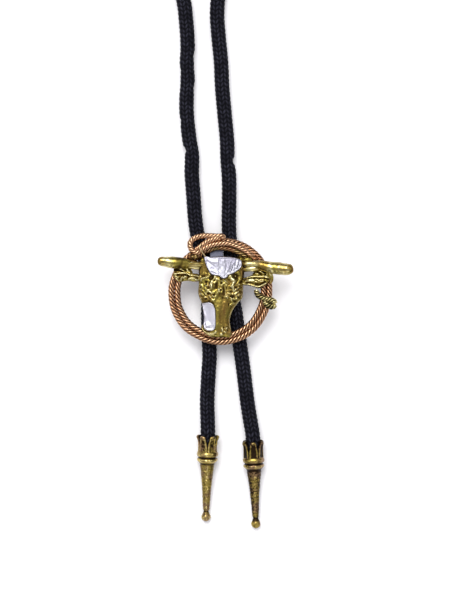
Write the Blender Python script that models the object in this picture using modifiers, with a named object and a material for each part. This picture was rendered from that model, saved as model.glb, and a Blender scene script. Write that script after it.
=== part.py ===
# A string tie laid flat: a braided cord round the neck, a cast slide that shows a steer's head on a coiled
# lariat, and a cast tip on each end of the cord.
# Metres, +X right, +Y up towards the neck, +Z off the surface that the tie lies on. The origin is on that
# surface, behind the middle of the coil. Constants and tables are in millimetres, and MM makes them metres.

import math
from collections import namedtuple

import bmesh
import bpy
from mathutils import Vector

MM = 0.001

# Driving dimensions
GAP = 0.3
CORD_DIAMETER = 6.1
CORD_STEP = 12.0
CORD_REST_Z = 3.06
CLIP_FACE_WALL = 0.8
CLIP_SIDE_WALL = 0.5
CLIP_LOW_Y = -2.5
CLIP_HIGH_Y = 8.5
CLIP_JOIN_Y = 3.0
SLEEVE_LEFT_X = -4.9
SLEEVE_RIGHT_X = 5.3
CLIP_TAB_LEFT_X = -4.4
CLIP_TAB_RIGHT_X = 2.4
CLIP_TAB_TOP_Y = 18.2
CLIP_TAB_THICKNESS = 0.8
CLIP_TAB_SINK = 0.02
CLIP_ARC_STEPS = 8
ROPE_RADIUS = 1.0
ROPE_VALLEY_RADIUS = 0.78
ROPE_STRANDS = 3
ROPE_STEP = 1.15
PLATE_PROUD = 0.45
PLATE_TOP_Y = 16.0
FOREHEAD_FLOOR = 1.7
MUZZLE_FLOOR = 0.8
FACE_CLEAR_HEIGHT = 9.0
TIP_MOUTH_RADIUS = 4.55
TIP_MOUTH_Z = 5.3
TIP_BALL_RADIUS = 1.9
TIP_LENGTH = 36.8
TIP_SOCKET_DEPTH = 8.0
TIP_PETALS = 6
TIP_STEPS = 18
TIP_MERGE = 0.05
TIP_LEAD_IN = 2.0
TIP_LEAD_DOWN = 2.5
REST_CLEARANCE = 0.06
NOTCH_WIDTH = 2.8
NOTCH_DEPTH = 4.6
NOTCH_OVERRUN = 1.0
NOTCH_RISE = 0.5
COIL_CROSSING_FROM = 8.0
COIL_CROSSING_TO = 32.0
COIL_END = 14.0
COIL_READ_DEGREES = 3
KNOT_STEP = 0.9
FACE_ARC_STEPS = 8
CROWN_POWER = 0.8
COIL_SEAT_RADIUS = 16.55
COIL_SEAT_REACH = 26.0
COIL_SEAT_DROP = 1.0
COIL_SEAT_STEPS = 40
HORN_STEP = 1.9
EAR_SECTION_POINTS = 8
MASS_SEGMENTS = 10
MASS_RINGS = 6
CURVE_PARTS = 10
CURVE_MERGE = 0.002
WELD_DISTANCE = 0.01

# Worked out from them
CORD_RADIUS = CORD_DIAMETER / 2
CHANNEL_RADIUS = CORD_RADIUS + GAP
CLIP_AXIS_Z = CHANNEL_RADIUS + CLIP_FACE_WALL
CLIP_TOP_Z = 2 * CLIP_AXIS_Z
BACK_Z = CLIP_TOP_Z + GAP
COIL_Z = BACK_Z + ROPE_RADIUS
OVER_COIL_Z = COIL_Z + ROPE_RADIUS + GAP

# The cord's route round the neck, from inside the left sleeve of the clip to inside the right one
NeckPoint = namedtuple("NeckPoint", "x y z")
NECK_ROUTE = [
    NeckPoint(SLEEVE_LEFT_X, CLIP_JOIN_Y + GAP / 2, CLIP_AXIS_Z),
    NeckPoint(SLEEVE_LEFT_X, CLIP_HIGH_Y, CLIP_AXIS_Z),
    NeckPoint(-5.2, 10.6, 4.1),
    NeckPoint(-6.3, 13.0, 3.9),
    NeckPoint(-8.0, 17.0, 3.6),
    NeckPoint(-9.7, 23.9, 3.2),
    NeckPoint(-10.6, 29.8, CORD_REST_Z),
    NeckPoint(-11.1, 36.0, CORD_REST_Z),
    NeckPoint(-11.6, 43.0, CORD_REST_Z),
    NeckPoint(-12.1, 49.6, CORD_REST_Z),
    NeckPoint(-12.0, 57.0, CORD_REST_Z),
    NeckPoint(-13.1, 64.0, CORD_REST_Z),
    NeckPoint(-14.1, 73.0, CORD_REST_Z),
    NeckPoint(-14.3, 80.6, CORD_REST_Z),
    NeckPoint(-13.8, 88.0, CORD_REST_Z),
    NeckPoint(-14.2, 95.0, CORD_REST_Z),
    NeckPoint(-13.8, 103.0, CORD_REST_Z),
    NeckPoint(-14.5, 114.0, CORD_REST_Z),
    NeckPoint(-15.9, 124.0, CORD_REST_Z),
    NeckPoint(-20.5, 137.0, CORD_REST_Z),
    NeckPoint(-30.5, 155.0, CORD_REST_Z),
    NeckPoint(-45.5, 175.0, CORD_REST_Z),
    NeckPoint(-61.0, 199.0, CORD_REST_Z),
    NeckPoint(-72.0, 227.0, CORD_REST_Z),
    NeckPoint(-76.0, 257.0, CORD_REST_Z),
    NeckPoint(-70.5, 288.0, CORD_REST_Z),
    NeckPoint(-54.0, 314.0, CORD_REST_Z),
    NeckPoint(-30.0, 329.5, CORD_REST_Z),
    NeckPoint(-3.0, 333.0, CORD_REST_Z),
    NeckPoint(24.0, 324.5, CORD_REST_Z),
    NeckPoint(45.5, 304.5, CORD_REST_Z),
    NeckPoint(57.0, 276.0, CORD_REST_Z),
    NeckPoint(58.0, 245.0, CORD_REST_Z),
    NeckPoint(49.5, 215.0, CORD_REST_Z),
    NeckPoint(35.0, 188.5, CORD_REST_Z),
    NeckPoint(19.0, 165.5, CORD_REST_Z),
    NeckPoint(6.0, 144.0, CORD_REST_Z),
    NeckPoint(0.0, 128.0, CORD_REST_Z),
    NeckPoint(-1.4, 118.0, CORD_REST_Z),
    NeckPoint(-0.9, 108.0, CORD_REST_Z),
    NeckPoint(0.2, 96.6, CORD_REST_Z),
    NeckPoint(0.7, 86.0, CORD_REST_Z),
    NeckPoint(1.7, 74.5, CORD_REST_Z),
    NeckPoint(2.7, 64.0, CORD_REST_Z),
    NeckPoint(3.0, 55.5, CORD_REST_Z),
    NeckPoint(3.6, 47.0, CORD_REST_Z),
    NeckPoint(3.6, 36.0, CORD_REST_Z),
    NeckPoint(3.5, 29.3, 3.1),
    NeckPoint(3.8, 22.0, 3.4),
    NeckPoint(4.5, 14.5, 3.8),
    NeckPoint(5.1, 10.6, 4.1),
    NeckPoint(SLEEVE_RIGHT_X, CLIP_HIGH_Y, CLIP_AXIS_Z),
    NeckPoint(SLEEVE_RIGHT_X, CLIP_JOIN_Y + GAP / 2, CLIP_AXIS_Z),
]

# Each free end of the cord, from inside the clip to the mouth of its tip
TailPoint = namedtuple("TailPoint", "x y z")
LEFT_TAIL_ROUTE = [
    TailPoint(SLEEVE_LEFT_X, CLIP_JOIN_Y - GAP / 2, CLIP_AXIS_Z),
    TailPoint(SLEEVE_LEFT_X, CLIP_LOW_Y, CLIP_AXIS_Z),
    TailPoint(-4.95, -4.5, 4.0),
    TailPoint(-5.15, -9.0, 3.7),
    TailPoint(-5.1, -14.0, 3.3),
    TailPoint(-4.9, -20.0, CORD_REST_Z),
    TailPoint(-4.6, -27.0, CORD_REST_Z),
    TailPoint(-5.0, -34.0, CORD_REST_Z),
    TailPoint(-5.4, -41.0, 3.14),
    TailPoint(-5.6, -47.0, 3.6),
    TailPoint(-5.4, -53.5, 4.8),
]
RIGHT_TAIL_ROUTE = [
    TailPoint(SLEEVE_RIGHT_X, CLIP_JOIN_Y - GAP / 2, CLIP_AXIS_Z),
    TailPoint(SLEEVE_RIGHT_X, CLIP_LOW_Y, CLIP_AXIS_Z),
    TailPoint(5.5, -5.0, 4.0),
    TailPoint(6.25, -9.0, 3.7),
    TailPoint(7.1, -15.0, 3.3),
    TailPoint(8.0, -21.5, CORD_REST_Z),
    TailPoint(9.1, -29.0, CORD_REST_Z),
    TailPoint(10.0, -36.0, CORD_REST_Z),
    TailPoint(10.9, -43.5, 3.14),
    TailPoint(11.8, -50.0, 3.7),
    TailPoint(12.9, -56.5, 4.9),
]

# Where each tip's mouth and ball lie, seen from above, and how far its petals are turned about its axis
TipPlace = namedtuple("TipPlace", "mouth_x mouth_y ball_x ball_y turn_degrees")
LEFT_TIP = TipPlace(-5.3, -60.2, -6.1, -94.9, 0.0)
RIGHT_TIP = TipPlace(13.6, -62.6, 14.85, -97.4, 30.0)

# A tip's turned outline from the mouth's rim to below the ball, measured down from the mouth
TipRing = namedtuple("TipRing", "down radius")
TIP_INSIDE = [
    TipRing(TIP_SOCKET_DEPTH, 0.0),
    TipRing(TIP_SOCKET_DEPTH, CHANNEL_RADIUS),
    TipRing(1.6, CHANNEL_RADIUS),
    TipRing(0.2, 3.75),
]
TIP_OUTSIDE = [
    TipRing(0.1, TIP_MOUTH_RADIUS - 0.3),
    TipRing(0.8, TIP_MOUTH_RADIUS),
    TipRing(2.0, 4.3),
    TipRing(4.0, 3.95),
    TipRing(6.6, 3.85),
    TipRing(7.2, 4.25),
    TipRing(8.2, 4.4),
    TipRing(9.1, 4.05),
    TipRing(9.5, 3.8),
    TipRing(10.4, 4.25),
    TipRing(11.5, 3.7),
    TipRing(12.4, 2.95),
    TipRing(16.7, 2.4),
    TipRing(23.0, 1.75),
    TipRing(29.5, 1.35),
    TipRing(32.4, 0.95),
    TipRing(33.3, 1.1),
    TipRing(34.1, 1.75),
    TipRing(34.9, TIP_BALL_RADIUS),
    TipRing(35.8, 1.7),
    TipRing(36.5, 0.95),
    TipRing(TIP_LENGTH, 0.0),
]

# The coil's two turns: the radius of each turn's centre line at an angle from +X
CoilRow = namedtuple("CoilRow", "degrees inner outer")
COIL = [
    CoilRow(0, 18.05, 20.35),
    CoilRow(20, 18.0, 20.7),
    CoilRow(40, 18.1, 21.4),
    CoilRow(62, 18.1, 21.3),
    CoilRow(90, 18.3, 20.85),
    CoilRow(107, 17.9, 20.15),
    CoilRow(125, 17.2, 19.45),
    CoilRow(150, 17.7, 19.95),
    CoilRow(180, 18.1, 20.4),
    CoilRow(205, 18.4, 20.65),
    CoilRow(235, 18.4, 20.7),
    CoilRow(270, 18.9, 21.2),
    CoilRow(305, 18.5, 21.05),
    CoilRow(335, 18.1, 20.55),
]

# The rope's small loop at the upper left and the strand that rides on the coil from there to the right
# horn, into which its end sinks
LassoPoint = namedtuple("LassoPoint", "x y z swell")
LASSO_ROUTE = [
    LassoPoint(1.9, 22.9, 11.3, 0.45),
    LassoPoint(1.5, 23.0, 11.3, 1.2),
    LassoPoint(0.4, 23.1, 11.2, 1.35),
    LassoPoint(-0.8, 23.1, 11.0, 1.0),
    LassoPoint(-3.6, 23.1, 10.7, 1.0),
    LassoPoint(-7.0, 23.1, 10.4, 1.0),
    LassoPoint(-10.2, 22.4, 10.2, 1.0),
    LassoPoint(-12.4, 20.6, 10.4, 1.0),
    LassoPoint(-12.6, 18.4, 11.3, 1.0),
    LassoPoint(-11.4, 16.7, 12.0, 1.0),
    LassoPoint(-9.4, 16.3, 12.1, 1.0),
    LassoPoint(-7.3, 17.6, 11.8, 1.0),
    LassoPoint(-4.6, 18.9, 11.6, 1.0),
    LassoPoint(-1.2, 19.6, 11.4, 1.0),
    LassoPoint(2.8, 19.65, 11.3, 1.0),
    LassoPoint(6.6, 18.6, 11.3, 1.0),
    LassoPoint(9.8, 17.0, 11.3, 1.0),
    LassoPoint(12.2, 15.2, 11.2, 1.0),
    LassoPoint(14.0, 13.6, 9.9, 0.95),
]

# The rope end that crosses the coil below the right ear, with a knob at each end
KnotPoint = namedtuple("KnotPoint", "x y z radius")
KNOT_ROUTE = [
    KnotPoint(14.75, 0.1, 11.6, 0.6),
    KnotPoint(15.1, -0.3, 11.6, 1.2),
    KnotPoint(16.0, -1.2, 11.8, 1.5),
    KnotPoint(17.2, -2.2, 12.2, 1.2),
    KnotPoint(18.9, -3.3, 12.4, 1.2),
    KnotPoint(20.2, -4.2, 12.6, 1.5),
    KnotPoint(21.4, -5.1, 12.6, 2.0),
    KnotPoint(22.4, -5.9, 12.5, 1.5),
    KnotPoint(22.9, -6.3, 12.4, 0.7),
]

# The face seen from above: its sides, and the heights of its ridge and of its side walls off its back
FaceRow = namedtuple("FaceRow", "y left right ridge crown side")
FACE = [
    FaceRow(14.0, -7.0, 8.8, 0.9, 4.0, 2.2),
    FaceRow(12.5, -8.1, 9.7, 0.9, 4.6, 2.4),
    FaceRow(9.5, -8.7, 10.0, 0.9, 5.0, 2.4),
    FaceRow(6.0, -8.8, 9.6, 0.9, 5.3, 2.4),
    FaceRow(2.5, -9.0, 9.5, 0.8, 5.4, 2.2),
    FaceRow(-0.5, -9.3, 9.4, 0.6, 5.4, 2.0),
    FaceRow(-3.0, -8.7, 9.0, 0.4, 5.5, 1.8),
    FaceRow(-5.0, -7.8, 7.2, 0.2, 5.6, 1.7),
    FaceRow(-8.0, -7.1, 5.2, 0.0, 5.6, 1.6),
    FaceRow(-11.0, -6.5, 4.1, -0.4, 5.5, 1.6),
    FaceRow(-13.0, -6.8, 4.0, -0.8, 5.5, 1.8),
    FaceRow(-15.0, -8.0, 4.3, -1.2, 5.5, 2.1),
    FaceRow(-16.6, -7.4, 4.6, -1.2, 5.2, 2.6),
    FaceRow(-18.2, -5.6, 4.6, -0.8, 4.6, 3.0),
    FaceRow(-19.3, -3.2, 3.6, 0.0, 3.8, 3.0),
]

HornPoint = namedtuple("HornPoint", "x y z diameter")
LEFT_HORN = [
    HornPoint(-7.0, 10.9, 11.9, 2.6),
    HornPoint(-10.0, 11.05, 12.1, 2.6),
    HornPoint(-12.5, 11.6, 12.5, 3.5),
    HornPoint(-15.5, 11.9, 13.0, 4.4),
    HornPoint(-19.5, 11.95, 13.4, 4.8),
    HornPoint(-22.8, 12.3, 13.7, 4.2),
    HornPoint(-24.9, 12.5, 14.0, 3.6),
    HornPoint(-25.8, 12.5, 14.1, 2.4),
    HornPoint(-26.1, 12.5, 14.1, 1.0),
]
RIGHT_HORN = [
    HornPoint(9.6, 10.3, 11.8, 3.2),
    HornPoint(11.0, 10.35, 12.3, 3.3),
    HornPoint(15.0, 10.6, 12.9, 4.0),
    HornPoint(19.5, 10.15, 13.4, 5.0),
    HornPoint(24.0, 9.5, 13.9, 5.0),
    HornPoint(27.6, 9.25, 14.3, 4.8),
    HornPoint(29.3, 9.35, 14.5, 4.0),
    HornPoint(30.0, 9.4, 14.6, 2.6),
    HornPoint(30.3, 9.4, 14.6, 1.2),
]

# Each ear from its root to its tip: its edges seen from above, and the middle and half of its thickness
EarRow = namedtuple("EarRow", "x low high z half")
LEFT_EAR = [
    EarRow(-7.8, 4.6, 7.2, 11.7, 0.9),
    EarRow(-10.5, 4.4, 7.4, 11.8, 1.0),
    EarRow(-13.5, 4.0, 8.0, 12.0, 1.1),
    EarRow(-16.5, 3.9, 8.3, 12.0, 1.1),
    EarRow(-18.6, 4.6, 8.1, 12.0, 1.0),
    EarRow(-19.9, 6.3, 7.4, 11.9, 0.6),
]
RIGHT_EAR = [
    EarRow(8.5, 2.8, 5.2, 11.7, 0.9),
    EarRow(11.0, 2.4, 5.5, 11.8, 1.0),
    EarRow(13.6, 2.1, 6.0, 12.0, 1.1),
    EarRow(16.5, 1.6, 6.2, 12.0, 1.1),
    EarRow(19.2, 3.0, 5.8, 12.0, 1.0),
    EarRow(21.5, 4.2, 5.0, 11.9, 0.6),
]

# Rounded masses on the casting: where each is, and its half sizes
Mass = namedtuple("Mass", "name x y z half_x half_y half_z")
TUFTS = [
    Mass("left_tuft", -16.0, 8.5, 12.0, 3.7, 1.5, 1.0),
    Mass("right_tuft", 17.4, 7.3, 12.0, 3.4, 1.5, 1.0),
]
FACE_MASSES = [
    Mass("left_cheek", -6.0, -0.6, 12.3, 2.7, 2.8, 1.5),
    Mass("right_cheek", 6.2, -0.9, 12.3, 2.7, 2.8, 1.5),
    Mass("left_brow", -3.9, 2.6, 13.3, 1.5, 2.6, 1.2),
    Mass("right_brow", 5.4, 3.0, 13.3, 1.4, 2.6, 1.2),
    Mass("right_nostril", 2.6, -16.4, 12.7, 1.7, 1.7, 1.5),
]
EYES = [
    Mass("left_eye", -4.5, 5.3, 13.6, 0.75, 0.75, 1.2),
    Mass("right_eye", 6.6, 5.7, 13.3, 0.75, 0.75, 1.2),
]

OutlinePoint = namedtuple("OutlinePoint", "x y")
FOREHEAD_OUTLINE = [
    OutlinePoint(-7.1, 15.1),
    OutlinePoint(-6.9, 13.4),
    OutlinePoint(-6.4, 11.5),
    OutlinePoint(-5.6, 9.4),
    OutlinePoint(-4.6, 7.6),
    OutlinePoint(-3.4, 6.7),
    OutlinePoint(-0.8, 6.2),
    OutlinePoint(0.3, 5.4),
    OutlinePoint(1.4, 5.1),
    OutlinePoint(2.6, 5.5),
    OutlinePoint(3.5, 6.6),
    OutlinePoint(5.2, 7.2),
    OutlinePoint(7.2, 8.4),
    OutlinePoint(8.8, 9.8),
    OutlinePoint(9.2, 11.0),
    OutlinePoint(9.1, 12.6),
    OutlinePoint(7.6, 13.6),
    OutlinePoint(4.4, 14.3),
    OutlinePoint(0.0, 14.5),
    OutlinePoint(-4.6, 14.3),
]
MUZZLE_OUTLINE = [
    OutlinePoint(-9.5, -4.7),
    OutlinePoint(-9.5, -13.0),
    OutlinePoint(-7.1, -13.9),
    OutlinePoint(-6.9, -15.4),
    OutlinePoint(-5.6, -16.4),
    OutlinePoint(-3.7, -16.6),
    OutlinePoint(-2.3, -15.8),
    OutlinePoint(-1.9, -13.5),
    OutlinePoint(-1.9, -9.5),
    OutlinePoint(-2.2, -7.0),
    OutlinePoint(-3.2, -5.2),
    OutlinePoint(-5.0, -4.4),
]

# Base colour, roughness and metallic value of each material
Finish = namedtuple("Finish", "colour roughness metallic")
BLACK_BRAID = Finish((0.012, 0.012, 0.02), 0.9, 0.0)
ANTIQUE_BRASS = Finish((0.48, 0.36, 0.08), 0.28, 1.0)
COPPER = Finish((0.62, 0.33, 0.18), 0.32, 1.0)
SILVER = Finish((0.78, 0.78, 0.84), 0.25, 1.0)
NICKEL = Finish((0.36, 0.37, 0.43), 0.45, 1.0)


def clear_scene():
    for thing in list(bpy.data.objects):
        bpy.data.objects.remove(thing, do_unlink=True)


def new_collection(name):
    collection = bpy.data.collections.new(name)
    bpy.context.scene.collection.children.link(collection)
    return collection


clear_scene()
TIE = new_collection("string_tie")
CUTTERS = new_collection("cutters")


def new_material(name, finish):
    material = bpy.data.materials.new(name)
    material.use_nodes = True
    shader = material.node_tree.nodes["Principled BSDF"]
    shader.inputs["Base Color"].default_value = (*finish.colour, 1.0)
    shader.inputs["Roughness"].default_value = finish.roughness
    shader.inputs["Metallic"].default_value = finish.metallic
    return material


def add_part(name, data, finish):
    part = bpy.data.objects.new(name, data)
    data.materials.append(new_material(name, finish))
    TIE.objects.link(part)
    return part


def add_cutter(name, data):
    cutter = bpy.data.objects.new(name, data)
    cutter.hide_render = True
    cutter.display_type = "WIRE"
    CUTTERS.objects.link(cutter)
    return cutter


def add_boolean(part, operation, other):
    modifier = part.modifiers.new(f"{operation.lower()}_{other.name}", "BOOLEAN")
    modifier.operation = operation
    modifier.object = other
    modifier.solver = "EXACT"


def add_weld(part):
    """Closes the hair-thin slivers that the cuts leave."""
    weld = part.modifiers.new("weld", "WELD")
    weld.merge_threshold = WELD_DISTANCE * MM


def mesh_from(curve, name):
    """The closed mesh that a curve object makes. The curve object goes."""
    bpy.context.view_layer.update()
    evaluated = curve.evaluated_get(bpy.context.evaluated_depsgraph_get())
    mesh = bpy.data.meshes.new_from_object(evaluated)
    mesh.transform(curve.matrix_world)
    mesh.name = name
    work = bmesh.new()
    work.from_mesh(mesh)
    bmesh.ops.remove_doubles(work, verts=work.verts, dist=CURVE_MERGE * MM)
    bmesh.ops.recalc_face_normals(work, faces=work.faces)
    work.to_mesh(mesh)
    work.free()
    bpy.data.objects.remove(curve, do_unlink=True)
    return mesh


def on_smooth_curve(rows, step):
    """Points every step or so along a smooth curve through rows of numbers, ends included."""
    fine = []
    for index in range(len(rows) - 1):
        before = Vector(rows[max(index - 1, 0)])
        start = Vector(rows[index])
        end = Vector(rows[index + 1])
        after = Vector(rows[min(index + 2, len(rows) - 1)])
        for part in range(CURVE_PARTS):
            t = part / CURVE_PARTS
            bend = (end - before) * t + (2 * before - 5 * start + 4 * end - after) * t**2
            bend += (3 * start - before - 3 * end + after) * t**3
            fine.append(start + bend / 2)
    fine.append(Vector(rows[-1]))
    return evenly(fine, step)


def evenly(points, step):
    """The points read again at even distances. The first three numbers of each are its place."""
    lengths = [0.0]
    for one, two in zip(points, points[1:]):
        lengths.append(lengths[-1] + (two - one).xyz.length)
    count = max(2, round(lengths[-1] / step))
    even = []
    index = 0
    for number in range(count + 1):
        wanted = lengths[-1] * number / count
        while index < len(points) - 2 and lengths[index + 1] < wanted:
            index += 1
        share = (wanted - lengths[index]) / (lengths[index + 1] - lengths[index])
        even.append(points[index].lerp(points[index + 1], min(share, 1.0)))
    return even


def polyline(name, points, radii=None, tilt=0.0):
    """A curve object along the points, with a radius and a turn for each."""
    curve = bpy.data.curves.new(name, "CURVE")
    curve.dimensions = "3D"
    curve.use_fill_caps = True
    spline = curve.splines.new("POLY")
    spline.points.add(len(points) - 1)
    for index, point in enumerate(points):
        spline.points[index].co = (point[0] * MM, point[1] * MM, point[2] * MM, 1.0)
        spline.points[index].tilt = tilt * index
        if radii:
            spline.points[index].radius = radii[index]
    return curve


def round_curve(name, points, radius, resolution, radii=None):
    curve = polyline(name, points, radii)
    curve.bevel_depth = radius * MM
    curve.bevel_resolution = resolution
    return curve


def rope_section():
    """The section of a laid rope: a ridge for each strand, with valleys between."""
    section = bpy.data.curves.new("rope_section", "CURVE")
    spline = section.splines.new("POLY")
    spline.points.add(2 * ROPE_STRANDS - 1)
    spline.use_cyclic_u = True
    for index, point in enumerate(spline.points):
        angle = math.pi * index / ROPE_STRANDS
        reach = (ROPE_RADIUS, ROPE_VALLEY_RADIUS)[index % 2] * MM
        point.co = (reach * math.cos(angle), reach * math.sin(angle), 0.0, 1.0)
    return add_cutter("rope_section", section)


def rope_mesh(name, points, swells, section):
    """A laid rope along the points. Each step turns the section by half a strand."""
    curve = polyline(name, points, swells, math.pi / ROPE_STRANDS)
    curve.bevel_mode = "OBJECT"
    curve.bevel_object = section
    mesh = mesh_from(add_cutter(name, curve), name)
    work = bmesh.new()
    work.from_mesh(mesh)
    bmesh.ops.triangulate(work, faces=work.faces, quad_method="SHORT_EDGE")
    work.to_mesh(mesh)
    work.free()
    return mesh


def lofted(name, sections, closed=False):
    """A solid through sections with the same number of points. A closed one joins the last to the first."""
    work = bmesh.new()
    rings = [[work.verts.new(Vector(point) * MM) for point in section] for section in sections]
    count = len(rings[0])
    if closed:
        rings.append(rings[0])
    for ring, following in zip(rings, rings[1:]):
        for index in range(count):
            after = (index + 1) % count
            work.faces.new((ring[index], ring[after], following[after], following[index]))
    if not closed:
        work.faces.new(rings[0])
        work.faces.new(rings[-1])
    bmesh.ops.recalc_face_normals(work, faces=work.faces)
    mesh = bpy.data.meshes.new(name)
    work.to_mesh(mesh)
    work.free()
    return mesh


def prism(name, outline, low, high):
    """A flat outline with its thickness along Z."""
    curve = bpy.data.curves.new(name, "CURVE")
    curve.dimensions = "2D"
    curve.fill_mode = "BOTH"
    curve.extrude = (high - low) / 2 * MM
    spline = curve.splines.new("POLY")
    spline.points.add(len(outline) - 1)
    spline.use_cyclic_u = True
    for point, place in zip(spline.points, outline):
        point.co = (place[0] * MM, place[1] * MM, 0.0, 1.0)
    solid = add_cutter(name, curve)
    solid.location.z = (low + high) / 2 * MM
    return mesh_from(solid, name)


def grown(outline, amount):
    """The outline with each corner moved outwards. The outline runs anticlockwise."""
    corners = [Vector((point[0], point[1])) for point in outline]
    moved = []
    for index, corner in enumerate(corners):
        back = (corner - corners[index - 1]).normalized()
        ahead = (corners[(index + 1) % len(corners)] - corner).normalized()
        outwards = Vector((back.y + ahead.y, -back.x - ahead.x)).normalized()
        lean = max(0.5, outwards.dot(Vector((ahead.y, -ahead.x))))
        moved.append(corner + outwards * amount / lean)
    return moved


def ellipsoid(mass):
    work = bmesh.new()
    bmesh.ops.create_uvsphere(work, u_segments=MASS_SEGMENTS, v_segments=MASS_RINGS, radius=1.0)
    mesh = bpy.data.meshes.new(mass.name)
    work.to_mesh(mesh)
    work.free()
    for vertex in mesh.vertices:
        vertex.co.x = (mass.x + vertex.co.x * mass.half_x) * MM
        vertex.co.y = (mass.y + vertex.co.y * mass.half_y) * MM
        vertex.co.z = (mass.z + vertex.co.z * mass.half_z) * MM
    return mesh


def tip_direction(place):
    """A tip's mouth, and the unit vector from there to its ball, as it rests on its rings and ball."""
    mouth = Vector((place.mouth_x, place.mouth_y, TIP_MOUTH_Z))
    ball = Vector((place.ball_x, place.ball_y, TIP_BALL_RADIUS + REST_CLEARANCE))
    return mouth, (ball - mouth).normalized()


def make_neck_loop():
    """The cord runs straight in the clip's sleeves and on a smooth curve between them."""
    free = on_smooth_curve(NECK_ROUTE[1:-1], CORD_STEP)
    points = [NECK_ROUTE[0], *free, NECK_ROUTE[-1]]
    add_part("neck_loop", round_curve("neck_loop", points, CORD_RADIUS, 2), BLACK_BRAID)


def make_tail(name, route, place):
    mouth, down = tip_direction(place)
    entry = [tuple(mouth - down * TIP_LEAD_IN), tuple(mouth + down * TIP_LEAD_DOWN)]
    end = tuple(mouth + down * (TIP_SOCKET_DEPTH - GAP))
    free = on_smooth_curve([*route[1:], *entry, end], CORD_STEP / 2)
    points = [route[0], *free]
    add_part(name, round_curve(name, points, CORD_RADIUS, 2), BLACK_BRAID)


def make_tip(name, place):
    mesh = bpy.data.meshes.new(name)
    rings = TIP_INSIDE + TIP_OUTSIDE
    corners = [(ring.radius * MM, 0.0, -ring.down * MM) for ring in rings]
    mesh.from_pydata(corners, [(index, index + 1) for index in range(len(corners) - 1)], [])
    tip = add_part(name, mesh, ANTIQUE_BRASS)
    screw = tip.modifiers.new("turned", "SCREW")
    screw.steps = TIP_STEPS
    screw.render_steps = TIP_STEPS
    screw.use_merge_vertices = True
    screw.merge_threshold = TIP_MERGE * MM
    mouth, down = tip_direction(place)
    tip.location = mouth * MM
    tip.rotation_euler = (-down).to_track_quat("Z", "Y").to_euler()
    turn = math.radians(place.turn_degrees)
    for number in range(TIP_PETALS // 2):
        notch = notch_cutter(f"{name}_notch_{number}", turn + math.pi * (number + 0.5) * 2 / TIP_PETALS)
        notch.parent = tip
        add_boolean(tip, "DIFFERENCE", notch)


def notch_cutter(name, angle):
    """A wedge across the mouth that parts the petals on both sides."""
    across = Vector((-math.sin(angle), math.cos(angle), 0.0))
    along = Vector((math.cos(angle), math.sin(angle), 0.0))
    reach = TIP_MOUTH_RADIUS + NOTCH_OVERRUN
    width = NOTCH_WIDTH / 2 * (NOTCH_DEPTH + NOTCH_RISE) / NOTCH_DEPTH
    sections = []
    for side in (-reach, reach):
        middle = along * side
        sections.append(
            [
                middle - across * width + Vector((0, 0, NOTCH_RISE)),
                middle + across * width + Vector((0, 0, NOTCH_RISE)),
                middle - Vector((0, 0, NOTCH_DEPTH)),
            ]
        )
    return add_cutter(name, lofted(name, sections))


def make_clip():
    """A plain block with round sides: two straight sleeves for the cord and a tab up behind the coil."""
    radius = CLIP_AXIS_Z
    left = SLEEVE_LEFT_X - CHANNEL_RADIUS - CLIP_SIDE_WALL + radius
    right = SLEEVE_RIGHT_X + CHANNEL_RADIUS + CLIP_SIDE_WALL - radius
    outline = []
    for centre, first in ((right, -math.pi / 2), (left, math.pi / 2)):
        for step in range(CLIP_ARC_STEPS + 1):
            angle = first + math.pi * step / CLIP_ARC_STEPS
            outline.append((centre + radius * math.cos(angle), radius * math.sin(angle)))
    sections = []
    for y in (CLIP_LOW_Y, CLIP_HIGH_Y):
        sections.append([(x, y, CLIP_AXIS_Z + z) for x, z in outline])
    clip = add_part("back_clip", lofted("back_clip", sections), NICKEL)
    tab_outline = [
        (CLIP_TAB_LEFT_X, CLIP_JOIN_Y),
        (CLIP_TAB_RIGHT_X, CLIP_JOIN_Y),
        (CLIP_TAB_RIGHT_X, CLIP_TAB_TOP_Y),
        (CLIP_TAB_LEFT_X, CLIP_TAB_TOP_Y),
    ]
    tab_top = CLIP_TOP_Z - CLIP_TAB_SINK
    tab = prism("clip_tab", tab_outline, tab_top - CLIP_TAB_THICKNESS, tab_top)
    add_boolean(clip, "UNION", add_cutter("clip_tab", tab))
    for name, x in (("left_channel", SLEEVE_LEFT_X), ("right_channel", SLEEVE_RIGHT_X)):
        ends = [Vector((x, y, CLIP_AXIS_Z)) for y in (CLIP_LOW_Y - GAP, CLIP_JOIN_Y, CLIP_HIGH_Y + GAP)]
        channel = add_cutter(name, round_curve(name, ends, CHANNEL_RADIUS, 4))
        add_boolean(clip, "DIFFERENCE", add_cutter(name, mesh_from(channel, name)))


def coil_radius(degrees, turn):
    """The radius of the inner turn, of the outer turn, or part of the way between them."""
    degrees %= 360
    rows = [*COIL, COIL[0]._replace(degrees=360)]
    for row, following in zip(rows, rows[1:]):
        if degrees <= following.degrees:
            share = (degrees - row.degrees) / (following.degrees - row.degrees)
            share = share * share * (3 - 2 * share)
            inner = row.inner + (following.inner - row.inner) * share
            outer = row.outer + (following.outer - row.outer) * share
            return inner + (outer - inner) * turn
    return COIL[0].inner


def coil_route():
    """Two turns, one inside the other. The rope crosses from the inner to the outer under the right ear."""
    points = []
    crossing = COIL_CROSSING_TO - COIL_CROSSING_FROM
    for degrees in range(int(COIL_CROSSING_TO), int(COIL_END) + 721, COIL_READ_DEGREES):
        past = (degrees - 360 - COIL_CROSSING_FROM) / crossing
        past = min(max(past, 0.0), 1.0)
        radius = coil_radius(degrees, past * past * (3 - 2 * past))
        angle = math.radians(degrees)
        points.append(Vector((radius * math.cos(angle), radius * math.sin(angle), COIL_Z)))
    return evenly(points, ROPE_STEP)


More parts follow.
